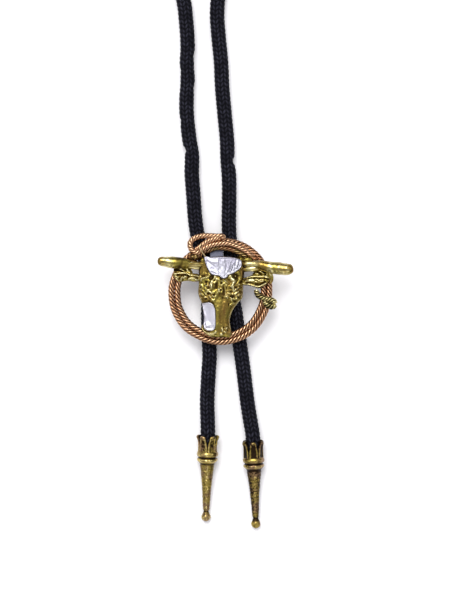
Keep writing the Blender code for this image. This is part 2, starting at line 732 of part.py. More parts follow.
def make_lariat(section):
    coil = coil_route()
    lariat = add_part("lariat", rope_mesh("lariat", coil, None, section), COPPER)
    lasso = on_smooth_curve(LASSO_ROUTE, ROPE_STEP)
    swells = [point[3] for point in lasso]
    add_boolean(lariat, "UNION", add_cutter("lasso", rope_mesh("lasso", lasso, swells, section)))
    add_weld(lariat)


def make_knot(section):
    points = on_smooth_curve(KNOT_ROUTE, KNOT_STEP)
    swells = [point[3] / ROPE_RADIUS for point in points]
    add_part("lariat_knot", rope_mesh("lariat_knot", points, swells, section), ANTIQUE_BRASS)


def face_section(row, rise):
    """The face cut across at one place: flat back, side walls, and a crown that peaks at its ridge."""
    section = [(row.right, row.y, BACK_Z), (row.left, row.y, BACK_Z)]
    side = BACK_Z + row.side + rise
    for step in range(FACE_ARC_STEPS + 1):
        angle = math.pi * step / FACE_ARC_STEPS
        reach = row.ridge - row.left if angle < math.pi / 2 else row.right - row.ridge
        height = (row.crown - row.side) * math.sin(angle) ** CROWN_POWER
        section.append((row.ridge - reach * math.cos(angle), row.y, side + height))
    return section


def face_mesh(name, rise=0.0, top=None):
    rows = list(FACE)
    if top:
        rows[0] = rows[0]._replace(y=top)
    return lofted(name, [face_section(row, rise) for row in rows])


def make_plate(name, outline, floor, head):
    """A silver inlay whose front follows the face, in a flat pocket with a small gap all round."""
    high = BACK_Z + FACE_CLEAR_HEIGHT
    plate = add_part(name, prism(name, outline, BACK_Z + floor, high), SILVER)
    front = add_cutter(f"{name}_front", face_mesh(f"{name}_front", PLATE_PROUD, top=PLATE_TOP_Y))
    add_boolean(plate, "INTERSECT", front)
    add_weld(plate)
    room = prism(f"{name}_pocket", grown(outline, GAP), BACK_Z + floor - GAP, high)
    add_boolean(head, "DIFFERENCE", add_cutter(f"{name}_pocket", room))


def horn_mesh(name, rows):
    points = on_smooth_curve(rows, HORN_STEP)
    radii = [point[3] / 2 for point in points]
    return mesh_from(add_cutter(name, round_curve(name, points, 1.0, 3, radii)), name)


def ear_mesh(name, rows):
    """A leaf-shaped ear through lens-shaped sections."""
    sections = []
    for row in rows:
        middle = (row.low + row.high) / 2
        reach = (row.high - row.low) / 2
        section = []
        for step in range(EAR_SECTION_POINTS):
            angle = math.tau * step / EAR_SECTION_POINTS
            section.append((row.x, middle + reach * math.cos(angle), row.z + row.half * math.sin(angle)))
        sections.append(section)
    return lofted(name, sections)


def coil_seat_mesh():
    """A flat ring that clears the back of the casting where it lies over the coil."""
    low = BACK_Z - COIL_SEAT_DROP
    corners = (
        (COIL_SEAT_RADIUS, low),
        (COIL_SEAT_REACH, low),
        (COIL_SEAT_REACH, OVER_COIL_Z),
        (COIL_SEAT_RADIUS, OVER_COIL_Z),
    )
    sections = []
    for step in range(COIL_SEAT_STEPS):
        angle = math.tau * step / COIL_SEAT_STEPS
        sections.append([(radius * math.cos(angle), radius * math.sin(angle), z) for radius, z in corners])
    return lofted("coil_seat", sections, closed=True)


def make_head():
    head = add_part("steer_head", face_mesh("steer_head"), ANTIQUE_BRASS)
    for mass in FACE_MASSES:
        add_boolean(head, "UNION", add_cutter(mass.name, ellipsoid(mass)))
    make_plate("forehead_plate", FOREHEAD_OUTLINE, FOREHEAD_FLOOR, head)
    make_plate("muzzle_plate", MUZZLE_OUTLINE, MUZZLE_FLOOR, head)
    for name, rows in (("left_horn", LEFT_HORN), ("right_horn", RIGHT_HORN)):
        add_boolean(head, "UNION", add_cutter(name, horn_mesh(name, rows)))
    for name, rows in (("left_ear", LEFT_EAR), ("right_ear", RIGHT_EAR)):
        add_boolean(head, "UNION", add_cutter(name, ear_mesh(name, rows)))
    for mass in TUFTS:
        add_boolean(head, "UNION", add_cutter(mass.name, ellipsoid(mass)))
    for eye in EYES:
        add_boolean(head, "DIFFERENCE", add_cutter(eye.name, ellipsoid(eye)))
    add_boolean(head, "DIFFERENCE", add_cutter("coil_seat", coil_seat_mesh()))
    add_weld(head)


make_neck_loop()
make_tail("left_tail", LEFT_TAIL_ROUTE, LEFT_TIP)
make_tail("right_tail", RIGHT_TAIL_ROUTE, RIGHT_TIP)
make_tip("left_tip", LEFT_TIP)
make_tip("right_tip", RIGHT_TIP)
make_clip()
ROPE = rope_section()
make_lariat(ROPE)
make_knot(ROPE)
make_head()
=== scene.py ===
# The looks of the string tie: its braided cord, cast slide, coiled lariat, silver inlays and cord tips.
# Lengths in the tables are millimetres. The camera looks straight down on the tie, which lies flat.

import math
from collections import namedtuple

import bmesh
import bpy
import numpy as np
from mathutils import Matrix, Vector, noise


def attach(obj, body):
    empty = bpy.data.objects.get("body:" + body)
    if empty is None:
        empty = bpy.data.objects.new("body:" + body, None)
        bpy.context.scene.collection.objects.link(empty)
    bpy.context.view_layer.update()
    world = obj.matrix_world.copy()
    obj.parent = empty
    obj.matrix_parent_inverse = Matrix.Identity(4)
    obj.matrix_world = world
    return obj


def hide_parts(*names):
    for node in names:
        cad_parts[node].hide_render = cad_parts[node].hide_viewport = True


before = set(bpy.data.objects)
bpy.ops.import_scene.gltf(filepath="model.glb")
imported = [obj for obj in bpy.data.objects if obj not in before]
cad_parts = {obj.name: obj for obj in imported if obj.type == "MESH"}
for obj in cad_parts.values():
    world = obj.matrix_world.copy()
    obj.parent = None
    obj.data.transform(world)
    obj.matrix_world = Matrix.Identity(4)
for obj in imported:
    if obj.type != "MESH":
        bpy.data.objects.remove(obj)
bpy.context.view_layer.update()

MM = 0.001
SCENE = bpy.context.scene

# Sizes shared with the part
CORD_DIAMETER = 6.1
CORD_REST_Z = 3.06
SLEEVE_Z = 4.15
SLEEVE_LEFT_X = -4.9
SLEEVE_RIGHT_X = 5.3
SLEEVE_LOW_Y = -2.5
SLEEVE_HIGH_Y = 8.5
SLEEVE_JOIN_Y = 3.0
CORD_GAP = 0.3
BACK_Z = 8.6
COIL_Z = 9.6
OVER_COIL_Z = 10.9

# ---- helpers: tables, curves and meshes ----


def table(kind, *rows):
    """Rows of numbers with the names of their columns."""
    return [kind(*row) for row in rows]


def smooth_route(rows, step):
    """Evenly spaced points, a numpy row each, on a smooth curve through rows of numbers."""
    rows = np.array([tuple(row) for row in rows], float)
    before = np.vstack([rows[:1], rows[:-2]])
    start, end = rows[:-1], rows[1:]
    after = np.vstack([rows[2:], rows[-1:]])
    fine = []
    for t in np.arange(0, 1, 0.02):
        bend = (end - before) * t + (2 * before - 5 * start + 4 * end - after) * t**2
        fine.append(start + (bend + (3 * start - before - 3 * end + after) * t**3) / 2)
    fine = np.stack(fine, axis=1).reshape(-1, rows.shape[1])
    return evenly(np.vstack([fine, rows[-1:]]), step)


def evenly(points, step):
    """The points read again at even distances. The first three columns are the place."""
    gaps = np.linalg.norm(np.diff(points[:, :3], axis=0), axis=1)
    along = np.concatenate([[0.0], np.cumsum(gaps)])
    count = max(2, int(round(along[-1] / step)))
    wanted = np.linspace(0.0, along[-1], count + 1)
    return np.column_stack([np.interp(wanted, along, column) for column in points.T])


def distances(points):
    return np.concatenate([[0.0], np.cumsum(np.linalg.norm(np.diff(points[:, :3], axis=0), axis=1))])


def cross_frames(points, up=(0.0, 0.0, 1.0)):
    """For each point of a route: the direction along it, sideways, and upwards."""
    along = np.gradient(points[:, :3], axis=0)
    along /= np.linalg.norm(along, axis=1, keepdims=True)
    side = np.cross(along, np.array(up))
    side /= np.linalg.norm(side, axis=1, keepdims=True)
    return along, side, np.cross(side, along)


def grid_quads(rows, columns, closed=False):
    """Faces of a grid of points, by row. A closed grid joins its last column to the first."""
    wide = columns if closed else columns - 1
    row, column = np.meshgrid(np.arange(rows - 1), np.arange(wide), indexing="ij")
    beside = (column + 1) % columns
    here, there = row * columns, (row + 1) * columns
    quads = np.stack([here + column, here + beside, there + beside, there + column], axis=-1)
    return quads.reshape(-1, 4).tolist()


def tube_faces(rings, around):
    """Faces of a tube of rings, closed at both ends."""
    last = (rings - 1) * around
    ends = [list(range(around)), [last + index for index in reversed(range(around))]]
    return grid_quads(rings, around, closed=True) + ends


def new_object(name, data):
    made = bpy.data.objects.new(name, data)
    SCENE.collection.objects.link(made)
    return made


def plain_mesh(guide):
    """The finished mesh of an object with a modifier or a curve, which is then removed."""
    bpy.context.view_layer.update()
    mesh = bpy.data.meshes.new_from_object(guide.evaluated_get(bpy.context.evaluated_depsgraph_get()))
    bpy.data.objects.remove(guide, do_unlink=True)
    return mesh


def read_places(mesh):
    """A mesh's points in millimetres, a row each."""
    places = np.empty(len(mesh.vertices) * 3, np.float32)
    mesh.vertices.foreach_get("co", places)
    return places.reshape(-1, 3) / MM


def read_values(mesh, title):
    values = np.empty(len(mesh.vertices), np.float32)
    mesh.attributes[title].data.foreach_get("value", values)
    return values


def write_values(mesh, title, values):
    """Keeps a number for each point of a mesh, which a material can read."""
    layer = mesh.attributes.get(title) or mesh.attributes.new(title, "FLOAT", "POINT")
    layer.data.foreach_set("value", np.asarray(values, np.float32).ravel())


def tidy_mesh(mesh, merge=0.0):
    """Points closer than merge become one, normals turn outwards, and the shading is smooth."""
    work = bmesh.new()
    work.from_mesh(mesh)
    if merge:
        bmesh.ops.remove_doubles(work, verts=work.verts, dist=merge * MM)
    bmesh.ops.recalc_face_normals(work, faces=work.faces)
    work.to_mesh(mesh)
    work.free()
    mesh.shade_smooth()


def new_piece(name, places, faces, **values):
    """A mesh object from places in millimetres, with its named values at each place."""
    mesh = bpy.data.meshes.new(name)
    mesh.from_pydata((np.asarray(places).reshape(-1, 3) * MM).tolist(), [], faces)
    for title, numbers in values.items():
        write_values(mesh, title, numbers)
    tidy_mesh(mesh)
    return new_object(name, mesh)


def joined(name, pieces):
    """One object from several closed ones. Their named values stay."""
    work = bmesh.new()
    for piece in pieces:
        work.from_mesh(piece.data)
        bpy.data.objects.remove(piece, do_unlink=True)
    mesh = bpy.data.meshes.new(name)
    work.to_mesh(mesh)
    work.free()
    mesh.shade_smooth()
    return new_object(name, mesh)


def dress(piece, material, slot, *nodes):
    """Gives a finished piece its material, its body and the solids that it stands for."""
    piece.data.materials.clear()
    piece.data.materials.append(material)
    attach(piece, "root")
    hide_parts(*nodes)
    return piece


def bump(x, centre, width):
    return np.exp(-(((x - centre) / width) ** 2))


def ease(x, low, high):
    t = np.clip((x - low) / (high - low), 0.0, 1.0)
    return t * t * (3 - 2 * t)


def noise_over(x, y, z, size, seed=0.0):
    """Soft noise from about -1 to 1 at places in millimetres, its lumps about one size across."""
    x, y, z = np.broadcast_arrays(x, y, z)
    flat = np.column_stack([x.ravel(), y.ravel(), z.ravel()]) / size + seed
    return np.array([noise.noise(Vector(place)) for place in flat]).reshape(x.shape)


def blurred(values, width):
    """A grid of heights smoothed over some cells each way."""
    reach = np.arange(-3 * width, 3 * width + 1)
    weights = np.exp(-((reach / width) ** 2) / 2)
    weights /= weights.sum()
    for axis in (0, 1):
        padding = [(0, 0), (0, 0)]
        padding[axis] = (3 * width, 3 * width)
        padded = np.pad(values, padding, mode="edge")
        values = np.apply_along_axis(lambda line: np.convolve(line, weights, "valid"), axis, padded)
    return values


# ---- helpers: shader nodes ----


def new_group(name, inputs, outputs):
    """A shader node group with named sockets, and its input and output nodes."""
    group = bpy.data.node_groups.new(name, "ShaderNodeTree")
    kinds = {"value": "NodeSocketFloat", "colour": "NodeSocketColor", "vector": "NodeSocketVector"}
    for title, kind, default in inputs:
        socket = group.interface.new_socket(title, in_out="INPUT", socket_type=kinds[kind])
        if default is not None:
            socket.default_value = default
    for title, kind in outputs:
        group.interface.new_socket(title, in_out="OUTPUT", socket_type=kinds[kind])
    return group, group.nodes.new("NodeGroupInput"), group.nodes.new("NodeGroupOutput")


def wire(tree, socket, value):
    if isinstance(value, bpy.types.NodeSocket):
        tree.links.new(value, socket)
    elif value is not None:
        socket.default_value = value


def maths(tree, operation, *values, clamp=False):
    node = tree.nodes.new("ShaderNodeMath")
    node.operation = operation
    node.use_clamp = clamp
    for socket, value in zip(node.inputs, values):
        wire(tree, socket, value)
    return node.outputs[0]


def ranged(tree, value, low, high, start=0.0, end=1.0):
    node = tree.nodes.new("ShaderNodeMapRange")
    node.interpolation_type = "SMOOTHSTEP"
    for socket, given in zip(node.inputs, (value, low, high, start, end)):
        wire(tree, socket, given)
    return node.outputs[0]


def mixed(tree, share, one, two):
    node = tree.nodes.new("ShaderNodeMix")
    node.data_type = "RGBA"
    wire(tree, node.inputs["Factor"], share)
    wire(tree, node.inputs["A"], one)
    wire(tree, node.inputs["B"], two)
    return node.outputs["Result"]


def noise_at(tree, vector, scale, detail=2.0, roughness=0.5):
    node = tree.nodes.new("ShaderNodeTexNoise")
    wire(tree, node.inputs["Vector"], vector)
    wire(tree, node.inputs["Scale"], scale)
    node.inputs["Detail"].default_value = detail
    node.inputs["Roughness"].default_value = roughness
    return node.outputs["Fac"]


def bumped(tree, height, strength, distance, normal=None):
    node = tree.nodes.new("ShaderNodeBump")
    node.inputs["Strength"].default_value = strength
    node.inputs["Distance"].default_value = distance
    wire(tree, node.inputs["Height"], height)
    wire(tree, node.inputs["Normal"], normal)
    return node.outputs["Normal"]


def attribute(tree, name):
    node = tree.nodes.new("ShaderNodeAttribute")
    node.attribute_name = name
    return node.outputs["Fac"]


def object_place(tree):
    return tree.nodes.new("ShaderNodeTexCoord").outputs["Object"]


def new_material(name):
    material = bpy.data.materials.new(name)
    material.use_nodes = True
    return material, material.node_tree, material.node_tree.nodes["Principled BSDF"]


# ---- camera ----

PHOTO_MM_PER_PIXEL = 0.42
PHOTO_HEIGHT_PIXELS = 600
VIEW_CENTRE = (1.89, -3.65)
VIEW_PLANE_Z = 4.0
LENS = 135.0
SENSOR = 36.0


def set_camera():
    camera = bpy.data.cameras.new("camera")
    camera.lens = LENS
    camera.sensor_width = SENSOR
    camera.sensor_fit = "AUTO"
    camera.dof.use_dof = False
    view = new_object("camera", camera)
    away = LENS / SENSOR * PHOTO_HEIGHT_PIXELS * PHOTO_MM_PER_PIXEL
    view.location = Vector((*VIEW_CENTRE, VIEW_PLANE_Z + away)) * MM
    SCENE.camera = view


set_camera()

# ---- materials ----


def aged_metal_group():
    """Metal coloured from dark to bright by one value: polish on its high places and darkness in its low ones,
    and in some places painted highlights and painted shade. Warmer tarnish comes in patches.
    """
    group, given, made = new_group(
        "aged_metal",
        [
            ("Bright", "colour", (0.8, 0.8, 0.8, 1)),
            ("Middle", "colour", (0.5, 0.5, 0.5, 1)),
            ("Warm", "colour", (0.5, 0.4, 0.3, 1)),
            ("Dark", "colour", (0.05, 0.05, 0.05, 1)),
            ("Worn", "value", 0.5),
            ("Patch", "value", 500.0),
            ("Tarnish", "value", 0.3),
            ("Polish", "value", 0.25),
            ("Place", "vector", None),
        ],
        [("Colour", "colour"), ("Roughness", "value"), ("Height", "value")],
    )
    given_wear_and_light = given.outputs["Worn"]
    place = given.outputs["Place"]
    patches = noise_at(group, place, given.outputs["Patch"], 4.0, 0.6)
    broad = noise_at(group, place, maths(group, "MULTIPLY", given.outputs["Patch"], 0.45), 2.0, 0.5)
    specks = noise_at(group, place, 2600.0, 3.0, 0.6)
    shift = maths(group, "MULTIPLY_ADD", patches, 0.6, -0.3)
    worn = maths(group, "ADD", given_wear_and_light, maths(group, "MULTIPLY", shift, given.outputs["Tarnish"]))
    low = ranged(group, worn, 0.1, 0.46)
    high = ranged(group, worn, 0.5, 0.95)
    middle = mixed(group, ranged(group, broad, 0.42, 0.62), given.outputs["Middle"], given.outputs["Warm"])
    colour = mixed(group, low, given.outputs["Dark"], middle)
    colour = mixed(group, high, colour, given.outputs["Bright"])
    rough = maths(group, "MULTIPLY_ADD", high, -0.08, given.outputs["Polish"])
    rough = maths(group, "ADD", rough, ranged(group, worn, 0.5, 0.1, 0.0, 0.25))
    rough = maths(group, "MULTIPLY_ADD", specks, 0.08, rough)
    for title, value in (("Colour", colour), ("Roughness", rough), ("Height", specks)):
        group.links.new(value, made.inputs[title])
    return group


AGED_METAL = aged_metal_group()


def brushed_lines(tree, scale):
    stretch = tree.nodes.new("ShaderNodeMapping")
    tree.links.new(object_place(tree), stretch.inputs["Vector"])
    stretch.inputs["Scale"].default_value = (1.0, 0.08, 1.0)
    return noise_at(tree, stretch.outputs["Vector"], scale, 4.0, 0.7)


def aged_metal(
    name,
    bright,
    middle,
    warm,
    dark,
    patch=450.0,
    tarnish=0.5,
    relief=0.12,
    polish=0.26,
    gilt=None,
    brushed=False,
):
    """A metal of the group above. Gilt tints the places that the mesh names, and brushed draws lines along Y."""
    material, tree, shader = new_material(name)
    group = tree.nodes.new("ShaderNodeGroup")
    group.node_tree = AGED_METAL
    share = attribute(tree, "gilt") if gilt else None
    colours = {"Bright": bright, "Middle": middle, "Warm": warm, "Dark": dark}
    for title, colour in colours.items():
        value = (*colour, 1)
        if gilt and title in gilt:
            value = mixed(tree, share, value, (*gilt[title], 1))
        wire(tree, group.inputs[title], value)
    for title, value in (("Patch", patch), ("Tarnish", tarnish), ("Polish", polish)):
        group.inputs[title].default_value = value
    wire(tree, group.inputs["Worn"], attribute(tree, "worn"))
    wire(tree, group.inputs["Place"], object_place(tree))
    tree.links.new(group.outputs["Colour"], shader.inputs["Base Color"])
    tree.links.new(group.outputs["Roughness"], shader.inputs["Roughness"])
    height = group.outputs["Height"]
    if brushed:
        height = brushed_lines(tree, 2400.0)
    tree.links.new(bumped(tree, height, relief, 0.0001), shader.inputs["Normal"])
    shader.inputs["Metallic"].default_value = 1.0
    return material


BRASS = aged_metal(
    "antique_brass",
    (0.64, 0.565, 0.28),
    (0.255, 0.205, 0.042),
    (0.24, 0.16, 0.036),
    (0.040, 0.023, 0.006),
    polish=0.23,
    gilt={"Middle": (0.22, 0.125, 0.035)},
)
TIP_BRASS = aged_metal(
    "tip_brass",
    (0.62, 0.50, 0.20),
    (0.32, 0.235, 0.055),
    (0.22, 0.135, 0.07),
    (0.022, 0.013, 0.007),
)
COPPER = aged_metal(
    "copper",
    (0.60, 0.37, 0.215),
    (0.30, 0.145, 0.07),
    (0.24, 0.105, 0.048),
    (0.030, 0.012, 0.007),
    500.0,
    0.4,
    gilt={"Bright": (0.66, 0.52, 0.29), "Middle": (0.24, 0.165, 0.06)},
)
SILVER = aged_metal(
    "silver",
    (0.70, 0.69, 0.77),
    (0.36, 0.36, 0.41),
    (0.34, 0.33, 0.40),
    (0.09, 0.09, 0.12),
    380.0,
    0.3,
    0.3,
    0.34,
    brushed=True,
)
ROPE_BRASS = aged_metal(
    "rope_brass",
    (0.66, 0.58, 0.29),
    (0.37, 0.32, 0.13),
    (0.30, 0.23, 0.09),
    (0.012, 0.009, 0.004),
)

BRAID_COLUMNS = 12
BRAID_PITCH = 1.9
BRAID_SLOPE = 0.8
BRAID_DEPTH = 0.46
BRAID_PROUD = 0.08
BRAID_UV_MM = 10.0
HALF_COLUMN = 0.5
ALONG_POWER = 2.2
ACROSS_POWER = 3.0
STITCH_FULLNESS = 0.6
YARN_THREADS = 44.0


def braid_group():
    """The braid's stitches from the cord's UV map: along it in centimetres, and once round it."""
    group, given, made = new_group(
        "braid",
        [
            ("UV", "vector", None),
            ("Columns", "value", float(BRAID_COLUMNS)),
            ("Pitch", "value", BRAID_PITCH / BRAID_UV_MM),
            ("Slope", "value", BRAID_SLOPE),
        ],
        [("Height", "value"), ("Yarn", "value")],
    )
    parts = group.nodes.new("ShaderNodeSeparateXYZ")
    group.links.new(given.outputs["UV"], parts.inputs[0])

    def calc(operation, *values, clamp=False):
        return maths(group, operation, *values, clamp=clamp)

    def rounded(share, power):
        """1 in the middle of a stitch, falling to 0 at its edges."""
        return calc("SUBTRACT", 1.0, calc("POWER", calc("ABSOLUTE", calc("MULTIPLY", share, 2.0)), power))

    across = calc("MULTIPLY_ADD", parts.outputs["Y"], given.outputs["Columns"], HALF_COLUMN)
    side = calc("SUBTRACT", calc("FRACT", across), 0.5)
    turn = calc("MULTIPLY_ADD", calc("MODULO", calc("FLOOR", across), 2.0), 2.0, -1.0)
    lean = calc("MULTIPLY", calc("MULTIPLY", side, turn), given.outputs["Slope"])
    stitch = calc("ADD", calc("DIVIDE", parts.outputs["X"], given.outputs["Pitch"]), lean)
    phase = calc("SUBTRACT", calc("FRACT", stitch), 0.5)
    full = calc("MULTIPLY", rounded(phase, ALONG_POWER), rounded(side, ACROSS_POWER), clamp=True)
    group.links.new(calc("POWER", full, STITCH_FULLNESS), made.inputs["Height"])
    threads = calc("SINE", calc("MULTIPLY", phase, YARN_THREADS))
    group.links.new(calc("MULTIPLY_ADD", threads, 0.5, 0.5), made.inputs["Yarn"])
    return group


def black_braid():
    material, tree, shader = new_material("black_braid")
    group = tree.nodes.new("ShaderNodeGroup")
    group.node_tree = braid_group()
    place = tree.nodes.new("ShaderNodeTexCoord")
    tree.links.new(place.outputs["UV"], group.inputs["UV"])
    fibres = noise_at(tree, place.outputs["Object"], 3200.0, 4.0, 0.7)
    patches = noise_at(tree, place.outputs["Object"], 420.0, 2.0, 0.5)
    # The stitch tops are painted lighter, a painted sheen, and the gaps between them darker, painted shade.
    raised = ranged(tree, group.outputs["Height"], 0.5, 1.0)
    raised = maths(tree, "MULTIPLY", raised, ranged(tree, patches, 0.35, 0.65, 0.35, 1.0))
    light = maths(tree, "MULTIPLY", raised, ranged(tree, fibres, 0.25, 0.75, 0.4, 1.0))
    colour = mixed(tree, light, (0.0015, 0.0014, 0.003, 1), (0.040, 0.041, 0.060, 1))
    tree.links.new(colour, shader.inputs["Base Color"])
    rough = maths(tree, "MULTIPLY_ADD", fibres, 0.25, 0.6)
    tree.links.new(rough, shader.inputs["Roughness"])
    relief = maths(tree, "MULTIPLY_ADD", group.outputs["Yarn"], 0.12, group.outputs["Height"])
    relief = maths(tree, "MULTIPLY_ADD", fibres, 0.18, relief)
    tree.links.new(bumped(tree, relief, 0.7, 0.00025), shader.inputs["Normal"])
    shader.inputs["Specular IOR Level"].default_value = 0.08
    return material


BLACK_BRAID = black_braid()


def nickel():
    material, tree, shader = new_material("nickel")
    lines = brushed_lines(tree, 5200.0)
    patches = noise_at(tree, object_place(tree), 300.0, 3.0, 0.6)
    colour = mixed(tree, patches, (0.12, 0.125, 0.17, 1), (0.21, 0.215, 0.28, 1))
    tree.links.new(colour, shader.inputs["Base Color"])
    rough = maths(tree, "MULTIPLY_ADD", lines, 0.2, 0.32)
    tree.links.new(rough, shader.inputs["Roughness"])
    tree.links.new(bumped(tree, lines, 0.1, 0.00005), shader.inputs["Normal"])
    shader.inputs["Metallic"].default_value = 1.0
    return material


NICKEL = nickel()

# ---- cord ----

# A point lies on the surface unless it says how high it is
CordPoint = namedtuple("CordPoint", "x y z", defaults=(CORD_REST_Z,))
NECK_ROUTE = table(
    CordPoint,
    (-5.2, 10.6, 4.1), (-6.3, 13.0, 3.9), (-8.0, 17.0, 3.6), (-9.7, 23.9, 3.2), (-10.6, 29.8),
    (-11.1, 36.0), (-11.6, 43.0), (-12.1, 49.6), (-12.0, 57.0), (-13.1, 64.0), (-14.1, 73.0), (-14.3, 80.6),
    (-13.8, 88.0), (-14.2, 95.0), (-13.8, 103.0), (-14.5, 114.0), (-15.9, 124.0), (-20.5, 137.0),
    (-30.5, 155.0), (-45.5, 175.0), (-61.0, 199.0), (-72.0, 227.0), (-76.0, 257.0), (-70.5, 288.0),
    (-54.0, 314.0), (-30.0, 329.5), (-3.0, 333.0), (24.0, 324.5), (45.5, 304.5), (57.0, 276.0),
    (58.0, 245.0), (49.5, 215.0), (35.0, 188.5), (19.0, 165.5), (6.0, 144.0), (0.0, 128.0), (-1.4, 118.0),
    (-0.9, 108.0), (0.2, 96.6), (0.7, 86.0), (1.7, 74.5), (2.7, 64.0), (3.0, 55.5), (3.6, 47.0),
    (3.6, 36.0), (3.5, 29.3, 3.1), (3.8, 22.0, 3.4), (4.5, 14.5, 3.8), (5.1, 10.6, 4.1),
)
LEFT_TAIL_ROUTE = table(
    CordPoint,
    (-4.95, -4.5, 4.0), (-5.15, -9.0, 3.7), (-5.1, -14.0, 3.3), (-4.9, -20.0), (-4.6, -27.0), (-5.0, -34.0),
    (-5.4, -41.0, 3.14), (-5.6, -47.0, 3.6), (-5.4, -53.5, 4.8),
)
RIGHT_TAIL_ROUTE = table(
    CordPoint,
    (5.5, -5.0, 4.0), (6.25, -9.0, 3.7), (7.1, -15.0, 3.3), (8.0, -21.5), (9.1, -29.0), (10.0, -36.0),
    (10.9, -43.5, 3.14), (11.8, -50.0, 3.7), (12.9, -56.5, 4.9),
)
TipPlace = namedtuple("TipPlace", "mouth_x mouth_y ball_x ball_y turn_degrees shade stretch")
LEFT_TIP = TipPlace(-5.3, -60.2, -6.1, -94.9, 0.0, -0.015, 1.0)
RIGHT_TIP = TipPlace(13.6, -62.6, 14.85, -97.4, 30.0, -0.165, 1.015)
TIP_MOUTH_Z = 5.3
TIP_BALL_RADIUS = 1.9
TIP_REST_CLEARANCE = 0.06
TIP_SOCKET_DEPTH = 8.0
TIP_LEAD_IN = 2.0
TIP_LEAD_DOWN = 2.5

SEEN_TO_Y = 126.0
CORD_LOW_Z = 0.02

# Where the cord is pinched: the place of the dent on its side, how deep and how long it is
Pinch = namedtuple("Pinch", "x y depth length")
PINCHES = table(
    Pinch,
    (-15.0, 59.3, 0.85, 1.5),
    (-17.4, 71.5, 0.35, 1.6),
    (6.2, 54.8, 0.95, 1.7),
    (-11.0, 85.5, 0.4, 1.8),
    (-17.3, 92.5, 0.45, 2.0),
    (-10.8, 99.0, 0.45, 1.8),
)


def tip_direction(place):
    mouth = Vector((place.mouth_x, place.mouth_y, TIP_MOUTH_Z))
    ball = Vector((place.ball_x, place.ball_y, TIP_BALL_RADIUS + TIP_REST_CLEARANCE))
    return mouth, (ball - mouth).normalized()


def braid_relief(along, turns):
    """Height of the braid's stitches, from 0 to 1, by distance along the cord and turns round it."""
    across = turns * BRAID_COLUMNS + HALF_COLUMN
    side = across % 1 - 0.5
    turn = (np.floor(across + 1e-6) % 2) * 2 - 1
    phase = (along / BRAID_PITCH + side * turn * BRAID_SLOPE) % 1 - 0.5
    round_along = 1 - np.abs(2 * phase) ** ALONG_POWER
    round_across = 1 - np.abs(2 * side) ** ACROSS_POWER
    return np.clip(round_along * round_across, 0, 1)


def pinched(radius, outwards, points, along):
    """The cord's radii with its dents, each on the side that its place says."""
    for pinch in PINCHES:
        place = np.array([pinch.x, pinch.y])
        far = np.linalg.norm(points[:, :2] - place, axis=1)
        nearest = int(np.argmin(far))
        if far[nearest] > CORD_DIAMETER:
            continue
        facing = place - points[nearest, :2]
        facing /= np.linalg.norm(facing)
        turned = np.clip(outwards[:, :, 0] * facing[0] + outwards[:, :, 1] * facing[1], 0, 1)
        radius = radius - pinch.depth * bump(along, along[nearest], pinch.length)[:, None] * turned**2
    return radius


def braided_cord(name, route, step, around):
    """A closed braided tube with a UV map along and round it. Its rings are closer where the view sees it."""
    points = evenly(np.asarray(route, float), step)
    along = distances(points)
    kept = (points[:, 1] < SEEN_TO_Y) | (np.arange(len(points)) % 2 == 0)
    kept[-1] = True
    points, along = points[kept], along[kept]
    _, side, up = cross_frames(points)
    turns = np.arange(around) / around
    angle = (turns * math.tau)[None, :, None]
    outwards = side[:, None, :] * np.cos(angle) + up[:, None, :] * np.sin(angle)
    low = 1 - braid_relief(along[:, None], turns[None, :])
    radius = pinched(CORD_DIAMETER / 2 + BRAID_PROUD - BRAID_DEPTH * low, outwards, points, along)
    places = points[:, None, :3] + outwards * radius[:, :, None]
    places[:, :, 2] = np.maximum(places[:, :, 2], CORD_LOW_Z)
    piece = new_piece(name, places, tube_faces(len(points), around))
    add_cord_uv(piece.data, along, around)
    return piece, points


def add_cord_uv(mesh, along, around):
    layer = mesh.uv_layers.new(name="cord")
    for face in mesh.polygons:
        rings = [mesh.loops[loop].vertex_index // around for loop in face.loop_indices]
        spots = [mesh.loops[loop].vertex_index % around for loop in face.loop_indices]
        wraps = len(spots) == 4 and max(spots) - min(spots) > around / 2
        for loop, ring, spot in zip(face.loop_indices, rings, spots):
            if wraps and spot < around / 2:
                spot += around
            layer.data[loop].uv = (along[ring] / BRAID_UV_MM, spot / around)


def tail_route(side_x, rows, place):
    mouth, down = tip_direction(place)
    sleeve = CordPoint(side_x, SLEEVE_LOW_Y, SLEEVE_Z)
    reaches = (-TIP_LEAD_IN, TIP_LEAD_DOWN, TIP_SOCKET_DEPTH - CORD_GAP)
    entry = [tuple(mouth + down * reach) for reach in reaches]
    free = smooth_route([sleeve, *rows, *entry], 1.0)
    join = (side_x, SLEEVE_JOIN_Y - CORD_GAP / 2, SLEEVE_Z)
    return np.vstack([[join], free])


def make_cord():
    high = [CordPoint(x, SLEEVE_HIGH_Y, SLEEVE_Z) for x in (SLEEVE_LEFT_X, SLEEVE_RIGHT_X)]
    join = [(x, SLEEVE_JOIN_Y + CORD_GAP / 2, SLEEVE_Z) for x in (SLEEVE_LEFT_X, SLEEVE_RIGHT_X)]
    free = smooth_route([high[0], *NECK_ROUTE, high[1]], 1.0)
    neck, _ = braided_cord("neck_cord", np.vstack([join[:1], free, join[1:]]), 0.3, 56)
    dress(neck, BLACK_BRAID, "black_braid", "neck_loop")
    tails = []
    for name, side_x, rows, place, node in (
        ("left_tail_cord", SLEEVE_LEFT_X, LEFT_TAIL_ROUTE, LEFT_TIP, "left_tail"),
        ("right_tail_cord", SLEEVE_RIGHT_X, RIGHT_TAIL_ROUTE, RIGHT_TIP, "right_tail"),
    ):
        tail, points = braided_cord(name, tail_route(side_x, rows, place), 0.28, 72)
        dress(tail, BLACK_BRAID, "black_braid", node)
        tails.append((tail, points, side_x))
    return tails


TAILS = make_cord()

# ---- tips ----

